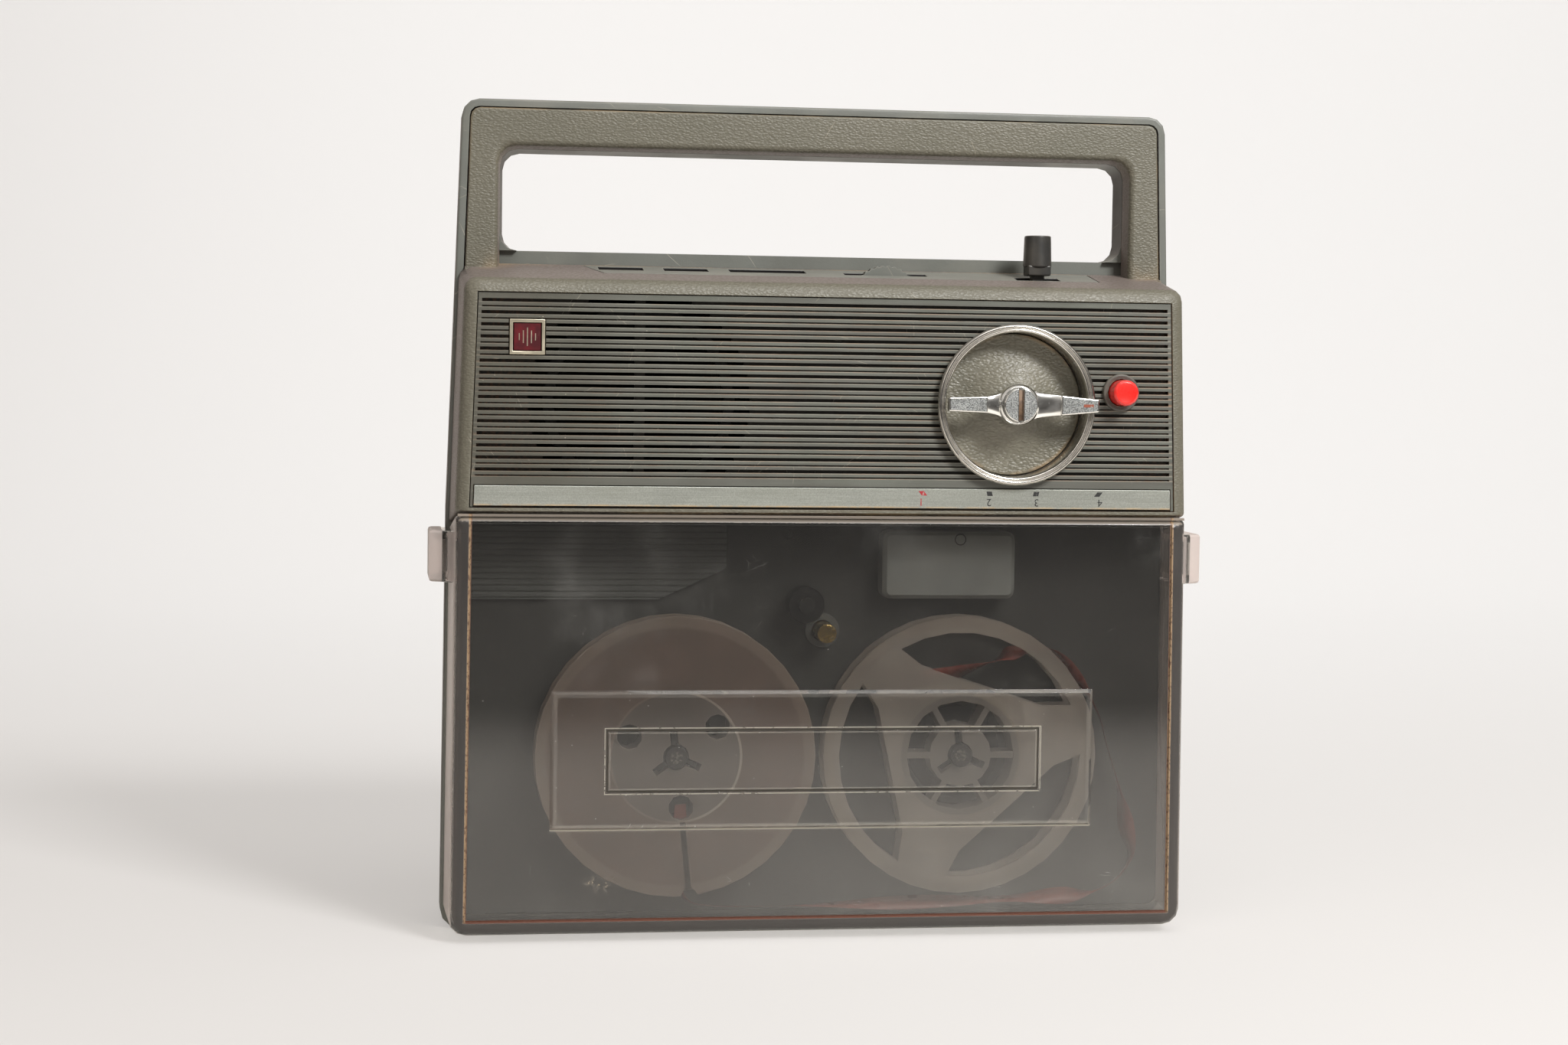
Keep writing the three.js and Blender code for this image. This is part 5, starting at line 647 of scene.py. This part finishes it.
rubber = plastic("rubber", rgb(38, 36, 34), rgb(30, 28, 27), 0.7, bump=0.06)
roller_rubber = plastic("roller_rubber", rgb(24, 22, 21), rgb(18, 17, 16), 0.85, dust=0)
board = plastic("board", rgb(126, 96, 52), rgb(108, 82, 44), 0.5, scale=300)
jacket = plastic("cell_jacket", rgb(170, 60, 40), rgb(150, 52, 36), 0.35)
tape = plastic("tape", rgb(136, 64, 52), rgb(118, 55, 45), 0.22, bump=0.01, dust=0.05)
milky_colours = (REEL, rgb(131, 115, 106))
pale_reel = reel_material("reel_plastic", TAKEUP, *milky_colours, 0.35, 19.2, rgb(126, 122, 118))
clear_colours = (rgb(226, 216, 206), rgb(208, 198, 188))
clear_reel = reel_material("reel_plastic_clear", SUPPLY, *clear_colours, 0.72, 18.2, rgb(176, 168, 160))
spindle_black = spindle_material()
smoky = cover_material()
dish = dish_material()
black_print = printing("black_print", rgb(28, 28, 28))
red_print = printing("red_print", rgb(150, 22, 34))
pointer_paint = printing("pointer_paint", rgb(132, 66, 44))
collar_paint = plastic("collar_paint", rgb(74, 71, 65), rgb(66, 62, 56), 0.42)
slot_dirt = plastic("slot_dirt", rgb(112, 88, 66), rgb(84, 64, 48), 0.6, bump=0.05, scale=900)

# Dressing of the CAD nodes: material, edge radius in mm and, where it isn't 40, the angle of an edge.

dressing = {
    "rear_shell": (shell, 0.35, 50),
    "front_shell": (leather, 0.32, 50),
    "grille": (panel, 0.18),
    "silver_strip": (strip, 0.12),
    "badge_frame": (badge_rim, 0.12),
    "badge_plate": (badge, 0.08),
    "selector_ring": (chrome, 0.25, 30),
    "selector_dish": (dish, 0.1),
    "selector_lever": (chrome, 0.25, 30),
    "selector_cap": (chrome, 0.2, 30),
    "selector_shaft": (steel, 0.1),
    "record_button": (red, 0.3),
    "record_spring": (steel, 0),
    "record_switch": (black, 0.2),
    "control_plate": (plate_shell, 0.12),
    "jack_block": (socket_black, 0.15),
    "volume_wheel": (shell, 0.1),
    "volume_control": (steel, 0.15),
    "switch_knob": (switch_black, 0.4),
    "slide_switch": (socket_black, 0.2),
    "speaker_frame": (black, 0.15),
    "speaker_cone": (paper, 0, 60),
    "smoky_cover": (smoky, 0.18, 50),
    "deck_plate": (deck, 0.15),
    "takeup_reel": (pale_reel, 0.15),
    "supply_reel": (clear_reel, 0.15),
    "takeup_spindle": (spindle_black, 0.15),
    "supply_spindle": (spindle_black, 0.15),
    "takeup_clutch_wheel": (rubber, 0.2),
    "supply_clutch_wheel": (rubber, 0.2),
    "tape_wrap": (tape, 0),
    "leader_tape": (tape, 0, 60),
    "capstan": (brass, 0.15),
    "flywheel": (steel, 0.3),
    "flywheel_bracket": (steel, 0.15),
    "drive_belt": (rubber, 0.1),
    "motor_pulley": (brass, 0.1),
    "motor": (steel, 0.3),
    "pinch_arm": (black, 0.1),
    "pinch_roller": (roller_rubber, 0.2),
    "head_cover": (cover_grey, 0.3),
    "record_head": (steel, 0.2),
    "erase_head": (steel, 0.2),
    "circuit_board": (board, 0.15),
    "battery_box": (black, 0.25),
    "battery_contact": (steel, 0.1),
    "battery_door": (shell, 0.25),
}
for name in nodes:
    if name.startswith("battery_cell"):
        dressing[name] = (jacket, 0.3)
    elif name.startswith("foot_"):
        dressing[name] = (rubber, 0.4)
    elif name.startswith("case_screw"):
        dressing[name] = (steel, 0.15)


def bevelled(piece, width, segments, angle):
    """Rounds off the edges that are sharper than the angle, by a width in mm."""
    bevel = piece.modifiers.new("bevel", "BEVEL")
    bevel.width = width * MM
    bevel.segments = segments
    bevel.limit_method = "ANGLE"
    bevel.angle_limit = math.radians(angle)
    bevel.harden_normals = True
    return bevel


def smoothed(mesh, smooth=True):
    mesh.polygons.foreach_set("use_smooth", [smooth] * len(mesh.polygons))


def dress(node, material, edge, angle=40):
    mesh = node.data
    mesh.materials.clear()
    mesh.materials.append(material)
    if "custom_normal" in mesh.attributes:
        mesh.attributes.remove(mesh.attributes["custom_normal"])
    smoothed(mesh)
    weld = node.modifiers.new("weld", "WELD")
    weld.merge_threshold = 0.005 * MM
    if edge:
        flatten = node.modifiers.new("flatten", "DECIMATE")
        flatten.decimate_type = "DISSOLVE"
        flatten.angle_limit = math.radians(0.6)
        bevelled(node, edge, 2, angle)
        weighted = node.modifiers.new("weighted", "WEIGHTED_NORMAL")
        weighted.keep_sharp = True


for name, settings in dressing.items():
    dress(nodes[name], *settings)


# Pieces that only the looks need.


def spot(x, depth, z):
    """A place in the scene from mm: across, behind the cover's face and up."""
    return x * MM, FRONT + depth * MM, z * MM


def linked(name, data):
    """A new object of the scene."""
    piece = bpy.data.objects.new(name, data)
    bpy.context.scene.collection.objects.link(piece)
    return piece


def mesh_piece(name, corners, faces, materials):
    mesh = bpy.data.meshes.new(name)
    mesh.from_pydata(corners, [], faces)
    for material in materials:
        mesh.materials.append(material)
    return linked(name, mesh)


def flat_patch(name, outline, depth, material):
    """A thin printed shape that faces the front, drawn in x and z. All in mm."""
    corners = [spot(x, depth, z) for x, z in outline]
    return mesh_piece(name, corners, [tuple(range(len(corners)))], [material])


def numeral(text, x, z, size, material):
    """A printed numeral, upside down, as the strip's printing is. Middle and letter size in mm."""
    curve = bpy.data.curves.new(f"numeral_{text}", "FONT")
    curve.body = text
    curve.align_x = "CENTER"
    curve.align_y = "CENTER"
    curve.size = size * MM
    writing = linked(f"writing_{text}", curve)
    bpy.context.view_layer.update()
    mesh = bpy.data.meshes.new_from_object(writing)
    bpy.data.objects.remove(writing)
    for vertex in mesh.vertices:
        across, up, _ = vertex.co
        vertex.co = (x * MM - across, FRONT + PRINT_DEPTH * MM, z * MM - up)
    mesh.materials.clear()
    mesh.materials.append(material)
    return linked(f"strip_numeral_{text}", mesh)


def faced(name, corners, faces, materials, face_materials=None, smooth=True):
    """A closed mesh piece whose faces look outward."""
    piece = mesh_piece(name, corners, faces, materials)
    mesh = piece.data
    if face_materials:
        mesh.polygons.foreach_set("material_index", face_materials)
    shape = bmesh.new()
    shape.from_mesh(mesh)
    bmesh.ops.recalc_face_normals(shape, faces=shape.faces)
    shape.to_mesh(mesh)
    shape.free()
    smoothed(mesh, smooth)
    return piece


def eased(profile, radius, steps=4):
    """The points of a profile with its inner corners rounded off by that length."""
    points = [profile[0]]
    for before, corner, after in zip(profile, profile[1:], profile[2:]):
        here = Vector(corner)
        legs = [Vector(other) - here for other in (before, after)]
        reach = min(radius, legs[0].length * 0.45, legs[1].length * 0.45)
        start, stop = (here + leg.normalized() * reach for leg in legs)
        for step in range(steps + 1):
            share = step / steps
            points.append(tuple(start * (1 - share) ** 2 + here * 2 * share * (1 - share) + stop * share**2))
    points.append(profile[-1])
    return points


def turned(name, centre, profile, materials, sides=144):
    """A piece turned round an axis that runs front to back. Profile: radius and depth in mm."""
    corners = []
    for step in range(sides):
        angle = step / sides * 2 * math.pi
        for radius, depth in profile:
            x = centre[0] + radius * math.cos(angle)
            z = centre[1] + radius * math.sin(angle)
            corners.append(spot(x, depth, z))
    count = len(profile)
    faces = []
    for step in range(sides):
        here = step * count
        beside = (step + 1) % sides * count
        faces += [(here + i, beside + i, beside + i + 1, here + i + 1) for i in range(count - 1)]
    return faced(name, corners, faces, materials)


def prism(name, outline, front, back, materials, edge, face_kind=0):
    """A flat shape in x and z with rounded edges: the front has one material, sides and edges another."""
    count = len(outline)
    corners = [spot(x, depth, z) for depth in (front, back) for x, z in outline]
    faces = [tuple(range(count)), tuple(range(2 * count - 1, count - 1, -1))]
    faces += [(i, (i + 1) % count, count + (i + 1) % count, count + i) for i in range(count)]
    kinds = [face_kind] + [0] * (count + 1)
    piece = faced(name, corners, faces, materials, kinds, smooth=False)
    bevelled(piece, edge, 3, 35).material = 0
    return piece


def rectangle(left, right, foot, top):
    return [(left, foot), (right, foot), (right, top), (left, top)]


def joined_piece(name, parts):
    """One piece made of several, with their modifiers applied."""
    depsgraph = bpy.context.evaluated_depsgraph_get()
    shape = bmesh.new()
    materials = []
    for part in parts:
        mesh = bpy.data.meshes.new_from_object(part.evaluated_get(depsgraph))
        places = []
        for material in mesh.materials:
            if material not in materials:
                materials.append(material)
            places.append(materials.index(material))
        for face in mesh.polygons:
            face.material_index = places[face.material_index]
        shape.from_mesh(mesh)
        bpy.data.meshes.remove(mesh)
        bpy.data.objects.remove(part)
    mesh = bpy.data.meshes.new(name)
    shape.to_mesh(mesh)
    shape.free()
    for material in materials:
        mesh.materials.append(material)
    return linked(name, mesh)


def belongs(piece, body, node=None):
    """Hangs the piece on the body that carries it, and hides the CAD node that it stands for, if any."""
    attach(piece, body)
    if node:
        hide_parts(node)


def selector_ring():
    """Chrome ring with two polished lips and a groove between them."""
    profile = [(22.3, 6.5), (22.3, -0.5), (23.4, -1.1), (23.5, -2.3), (23, -3), (22.45, -3)]
    profile += [(22.3, -2.6), (22.1, -2.6), (21.9, -2.95), (21.4, -2.85), (21, -2.1), (21, 6.5)]
    ring = turned("selector_ring_turned", SELECTOR, eased(profile, 0.22), [ring_chrome])
    belongs(ring, "case", "selector_ring")


def button_collar():
    """Round dark collar on the grille, round the record button."""
    profile = [(4.05, 0.6), (4.05, -0.9), (5.1, -1), (5.45, -0.65), (5.45, 0.4), (4.05, 0.6)]
    collar = turned("button_collar_turned", BUTTON, eased(profile, 0.2), [collar_paint], sides=72)
    belongs(collar, "case")


def selector_dish():
    """Grained dish that rises to the hub in a soft curve."""
    profile = [(3.1, 8), (3.1, 1.6), (6.1, 1.6)]
    steps = 24
    for step in range(1, steps + 1):
        share = step / steps
        rise = math.sin(min(share / 0.8, 1) * math.pi / 2) ** 1.2
        profile.append((6.1 + 14.3 * share, 1.6 + 3.4 * rise))
    profile += [(20.7, 5.25), (20.7, 8), (3.1, 8)]
    piece = turned("selector_dish_turned", SELECTOR, profile, [dish])
    belongs(piece, "case", "selector_dish")


def arm_neck(side, stations):
    """The sloped neck of one arm. Each station: distance from the hub, half width, front depth, in mm."""
    around = 14
    back = -3.4
    corners = []
    for reach, half, front in stations:
        for step in range(around + 1):
            angle = math.pi * step / around
            across = half * math.cos(angle)
            swell = max(math.sin(angle), 0) ** 0.35
            depth = back + (front - back) * swell
            corners.append(spot(SELECTOR[0] + side * reach, depth, SELECTOR[1] + across))
    row = around + 1
    faces = []
    for i in range(len(stations) - 1):
        here = i * row
        beside = here + row
        faces += [(here + k, here + k + 1, beside + k + 1, beside + k) for k in range(around)]
        faces.append((here, beside, beside + around, here + around))
    return faced("neck", corners, faces, [chrome])


def selector_lever():
    """Double-ended lever: polished hub and necks, blasted flats with polished edges, filled pointer slot."""
    x, z = SELECTOR
    hub_profile = [(0, -5.9), (5, -5.9), (5.3, -6), (6.1, -5), (6.1, 0.9), (0, 0.9)]
    long_neck = [(4, 4.6, -5.2), (5.4, 4, -4.9), (7, 3.6, -4.7), (9.5, 3.3, -4.7)]
    long_neck += [(12, 3.1, -4.9), (13, 3, -5.5)]
    short_neck = [(4, 4.2, -5.2), (5.4, 3.5, -4.9), (6.6, 3, -4.7), (8.6, 2.6, -4.8), (10, 2.4, -5.4)]
    parts = [turned("hub", SELECTOR, eased(hub_profile, 0.5), [chrome], sides=96)]
    parts += [arm_neck(1, long_neck), arm_neck(-1, short_neck)]
    long_flat = [(12.4, 2.95), (23.7, 1.85), (23.7, -1.85), (12.4, -2.95)]
    short_flat = [(-9.4, 2.4), (-9.4, -2.4), (-20.9, -2), (-20.9, 2)]
    for name, flat in (("long_flat", long_flat), ("short_flat", short_flat)):
        outline = [(x + across, z + up) for across, up in flat]
        parts.append(prism(name, outline, -6, -3.4, [chrome, frosted], 0.45, face_kind=1))
    lever = joined_piece("selector_lever_polished", parts)
    belongs(lever, "selector", "selector_lever")
    fill = [(x + 19, z + 0.45), (x + 22, z + 0.42), (x + 22, z - 0.42), (x + 19, z - 0.45)]
    pointer = prism("selector_pointer_fill", fill, -6.03, -5.7, [pointer_paint], 0.05)
    belongs(pointer, "selector")


def selector_cap():
    """Round cap cut by a wide slot: blasted face, polished rim, dirt in the slot."""
    x, z = SELECTOR
    parts = []
    half_slot = 0.7
    radius = 4.9
    limit = math.acos(half_slot / radius)
    steps = 40
    for side in (-1, 1):
        outline = []
        for step in range(steps + 1):
            angle = -limit + 2 * limit * step / steps
            outline.append((x + side * radius * math.cos(angle), z + radius * math.sin(angle)))
        parts.append(prism("half_cap", outline, -8, -6.3, [chrome, frosted], 0.6, face_kind=1))
    cap = joined_piece("selector_cap_slotted", parts)
    belongs(cap, "selector", "selector_cap")
    floor_profile = [(0, -7.1), (4.4, -7.1), (4.4, -6.3), (0, -6.3)]
    floor = turned("selector_slot_floor", SELECTOR, floor_profile, [slot_dirt], sides=64)
    belongs(floor, "selector")


def smooth_path(route, samples):
    """Evenly many points on each stretch of a smooth curve through the route's points."""
    points = [Vector((x, 0, z)) for x, z in route]
    points = [points[0]] + points + [points[-1]]
    spans = len(points) - 3
    path = []
    for i in range(samples + 1):
        place = min(i / samples * spans, spans - 1e-6)
        span = int(place)
        t = place - span
        p0, p1, p2, p3 = points[span:span + 4]
        square = 2 * p0 - 5 * p1 + 4 * p2 - p3
        cube = 3 * p1 - p0 - 3 * p2 + p3
        path.append(0.5 * (2 * p1 + (p2 - p0) * t + square * t**2 + cube * t**3))
    return path


def tape_ribbon(name, route, twists, samples, body, node):
    """A ribbon of tape along a route of x and z in mm. Away from its twists its width runs front to back."""
    path = smooth_path(route, samples)
    half_thickness = 0.03
    corners = []
    for i, here in enumerate(path):
        along = (path[min(i + 1, samples)] - path[max(i - 1, 0)]).normalized()
        share = i / samples
        turn = sum(angle * math.exp(-(((share - at) / spread) ** 2)) for at, spread, angle in twists)
        across = Vector((0, 1, 0)) * math.cos(turn) + along.cross(Vector((0, 1, 0))) * math.sin(turn)
        face = along.cross(across)
        for side in (-1, 1):
            for lift in (-half_thickness, half_thickness):
                corner = here + across * TAPE_HALF_WIDTH * side + face * lift
                corners.append(spot(corner.x, TAPE_DEPTH + corner.y, corner.z))
    faces = []
    for i in range(samples):
        a = 4 * i
        b = a + 4
        faces += [(a, b, b + 2, a + 2), (a + 1, a + 3, b + 3, b + 1)]
        faces += [(a, a + 1, b + 1, b), (a + 2, b + 2, b + 3, a + 3)]
    faces += [(0, 2, 3, 1), (4 * samples, 4 * samples + 1, 4 * samples + 3, 4 * samples + 2)]
    belongs(faced(name, corners, faces, [tape]), body, node)


def tapes():
    """The few turns on the left hub, and the loose leader that wanders round the right reel."""
    loose = [(-41.9, 30.6), (-41.2, 20), (-39.2, 10.6), (-30, 7.6), (0, 7.4), (34, 8), (70, 9), (88, 11.5)]
    loose += [(96.2, 20), (95, 30), (92.6, 41), (88, 56), (85.6, 64), (80.3, 72.5), (71, 83.5), (60, 83)]
    loose += [(53.1, 80), (40, 76.4), (27.1, 73.2), (21, 62), (23.8, 50.5)]
    # Each twist: where along the tape, how far it spreads, and its angle.
    twists = [(0.243, 0.035, 0.8), (0.31, 0.02, 1), (0.452, 0.038, 0.9), (0.665, 0.03, 0.7)]
    twists += [(0.76, 0.02, -0.6), (0.865, 0.05, 0.95), (0.3, 0.45, -0.26), (1, 0.25, 0.14)]
    tape_ribbon("leader_ribbon", loose, twists, 300, "case", "leader_tape")
    wound = []
    turns = 2.3
    steps = turns * 40
    for step in range(int(steps) + 1):
        share = step / steps
        angle = -math.pi / 2 + share * turns * 2 * math.pi
        radius = 19.5 + 2 * share
        wound.append((TAKEUP[0] + radius * math.cos(angle), TAKEUP[1] + radius * math.sin(angle)))
    tape_ribbon("wound_tape", wound, [], 360, "takeup", "tape_wrap")
    tail = [(-42.3, 38.2), (-39, 38.6), (-38.8, 34.4), (-42.6, 34.1)]
    belongs(prism("tape_tail", tail, 13, 13.2, [tape], 0.05), "takeup")


def deck_field():
    """Raised field of the deck left of the head cover, with soft grooves across it."""
    left, right, foot, top = -101.8, -27, 98.1, 119.6
    corner_height, corner_right = 107.3, -47
    face_depth, back_depth, groove_depth = 20, 21.7, 0.5
    first, pitch = 118.1, 1.785
    corners = []
    steps = 144
    for step in range(steps + 1):
        z = foot + (top - foot) * step / steps
        groove = math.cos((z - first) / pitch * 2 * math.pi)
        sunk = face_depth + groove_depth * max(groove, 0) ** 1.5
        down = min(max((corner_height - z) / (corner_height - foot), 0), 1)
        end = right + (corner_right - right) * down
        for x, depth in ((left, sunk), (end, sunk), (end, back_depth), (left, back_depth)):
            corners.append(spot(x, depth, z))
    faces = [(0, 1, 2, 3), tuple(range(4 * steps, 4 * steps + 4))]
    for step in range(steps):
        a = 4 * step
        for i in range(4):
            j = (i + 1) % 4
            faces.append((a + i, a + j, a + 4 + j, a + 4 + i))
    belongs(faced("deck_ribbed_field", corners, faces, [deck], smooth=False), "case")


def cover_bead():
    """Thin bead along the cover's upper edge, under the leather housing."""
    outline = rectangle(-106.6, 106.6, 123.3, 124.05)
    belongs(prism("cover_top_bead", outline, 0, 1, [smoky], 0.12), "cover")


def knob_skirt():
    """Squarish foot under the slide knob's cap, just clear of the plate."""
    outline = rectangle(61.9, 68.9, 195.1, 198.2)
    belongs(prism("switch_knob_skirt", outline, 16.6, 23.2, [switch_black], 0.5), "knob")


def deck_recess():
    """Dark recess near the head cover's upper edge."""
    profile = [(0, 13.4), (1.1, 13.3), (1.5, 12.95), (1.7, 12.9), (1.8, 13.1)]
    belongs(turned("head_cover_recess", (41.9, 116.6), profile, [black], sides=40), "case")


def strip_marks():
    """Pointer marks and numerals of the selector's four places, just proud of the strip."""
    # Each mark: x in mm, how far it leans, numeral, print.
    marks = [
        (27.3, -1, "1", red_print),
        (47.5, -0.3, "2", black_print),
        (61.7, 0.3, "3", black_print),
        (80.8, 1, "4", black_print),
    ]
    foot, top, half_width = 130.2, 131.5, 0.8
    for x, lean, text, ink in marks:
        left, right = x - half_width, x + half_width
        outline = [(left - lean, foot), (right - lean, foot), (right, top), (left, top)]
        mark = flat_patch(f"strip_mark_{text}", outline, PRINT_DEPTH, ink)
        for piece in (mark, numeral(text, x, 128.4, 3.08, ink)):
            belongs(piece, "case")


def badge_bars():
    """The badge's plain design: five upright bars."""
    middle_x, middle_z, pitch, half_width = -87.3, 174.5, 1.15, 0.13
    for place, reach in enumerate((1, 1.8, 2.6, 1.8, 1)):
        x = middle_x + (place - 2) * pitch
        outline = rectangle(x - half_width, x + half_width, middle_z - reach, middle_z + reach)
        belongs(flat_patch(f"badge_bar_{place + 1}", outline, 0.13, badge_rim), "case")


selector_ring()
button_collar()
selector_dish()
selector_lever()
selector_cap()
tapes()
deck_recess()
deck_field()
cover_bead()
knob_skirt()
strip_marks()
badge_bars()


# Studio, in metres.


def floor_material():
    """Pale paper, painted darker at the front left and brighter towards the back and the right, a painted
    shade across the floor; camera rays see half of it as a glow in the same grades. Polished surfaces see it
    end a little in front of the object.
    """
    mix = Mix("floor_paper")
    far_share = mix.between(mix.y, 0, 1.1)
    near_right = mix.between(mix.x, -0.6, 0.3)
    far_right = mix.between(mix.x, -1.2, 0.1)
    path = mix.add("LightPath").outputs

    near = mix.blend(near_right, rgb(194, 191, 189), rgb(203, 201, 199))
    far = mix.blend(far_right, rgb(208, 205, 203), rgb(251, 250, 250))
    tint = mix.blend(far_share, near, far)
    tint = mix.blend(path["Is Glossy Ray"], tint, rgb(246, 240, 232))
    paper = mix.add("BsdfDiffuse", {"Color": tint}).outputs[0]

    near_even = mix.blend(near_right, rgb(232, 227, 222), rgb(245, 241, 237))
    far_even = mix.blend(far_right, rgb(238, 233, 229), rgb(255, 253, 250))
    even = mix.blend(far_share, near_even, far_even)
    glow = mix.add("Emission", {"Color": even, "Strength": 1}).outputs[0]
    seen = mix.times(path["Is Camera Ray"], 0.5)
    paper = mix.add("MixShader", {0: seen, 1: paper, 2: glow}).outputs[0]

    dark = mix.add("BsdfDiffuse", {"Color": rgb(70, 68, 66)}).outputs[0]
    mirrored = mix.more(path["Is Glossy Ray"], path["Is Transmission Ray"])
    share = mix.times(mirrored, mix.between(mix.y, -0.34, -0.6))
    return mix.output(mix.add("MixShader", {0: share, 1: paper, 2: dark}).outputs[0])


def sweep():
    """Floor that curves up into the backdrop."""
    front, bend, radius, top, half_width, steps = -2.6, 0.9, 0.6, 2.6, 3, 12
    profile = [(front, 0), (bend, 0)]
    for step in range(1, steps + 1):
        angle = step / steps * math.pi / 2
        profile.append((bend + radius * math.sin(angle), radius - radius * math.cos(angle)))
    profile.append((bend + radius, top))
    corners = [(x, y, z) for y, z in profile for x in (-half_width, half_width)]
    faces = [(2 * i, 2 * i + 1, 2 * i + 3, 2 * i + 2) for i in range(len(profile) - 1)]
    piece = mesh_piece("studio_sweep", corners, faces, [floor_material()])
    smoothed(piece.data)


def lamp(name, place, size, power, tint=(1, 1, 1)):
    """A soft rectangular lamp, turned towards the object's middle."""
    data = bpy.data.lights.new(name, "AREA")
    data.shape = "RECTANGLE"
    data.size, data.size_y = size
    data.energy = power
    data.color = tint
    light = linked(name, data)
    light.location = place
    middle = Vector((0, 0, 0.13))
    light.rotation_euler = (middle - Vector(place)).to_track_quat("-Z", "Y").to_euler()


def world():
    """Even pale light. Polished surfaces see a dark room near the horizon and a bright ceiling above it."""
    sky = bpy.data.worlds.new("studio")
    mix = Mix("studio", sky)
    height = mix.split(mix.coordinates["Generated"])[2]
    ceiling = mix.between(height, 0.12, 0.5, 0.12, 0.7)
    mirrored = mix.add("LightPath").outputs["Is Glossy Ray"]
    strength = mix.add("Mix", {0: mirrored, 2: 0.31, 3: ceiling}).outputs[0]
    colour = (1, 0.935, 0.875, 1)
    light = mix.add("Background", {"Color": colour, "Strength": strength}).outputs[0]
    mix.add("OutputWorld", {"Surface": light})
    bpy.context.scene.world = sky


def photographer():
    """Camera at the photograph's place, with the sensor's width and the lens in mm."""
    data = bpy.data.cameras.new("camera")
    data.sensor_width = 36
    data.lens = 63.316
    data.clip_start = 0.01
    camera = linked("camera", data)
    camera.location = (-0.1313, -0.81449, 0.16835)
    camera.rotation_euler = [math.radians(turn) for turn in (86.672, -0.827, -8.513)]
    bpy.context.scene.camera = camera


sweep()
world()
lamp("key", (0.6, -1.1, 1.05), (0.38, 0.38), 28.5, (1, 1, 0.995))
lamp("top", (0.1, -0.5, 1.5), (1, 0.6), 7.5)
lamp("fill", (-1.2, -1.2, 0.9), (0.9, 0.9), 3.5, (1, 0.9, 0.82))
photographer()
bpy.context.scene.view_settings.view_transform = "Standard"
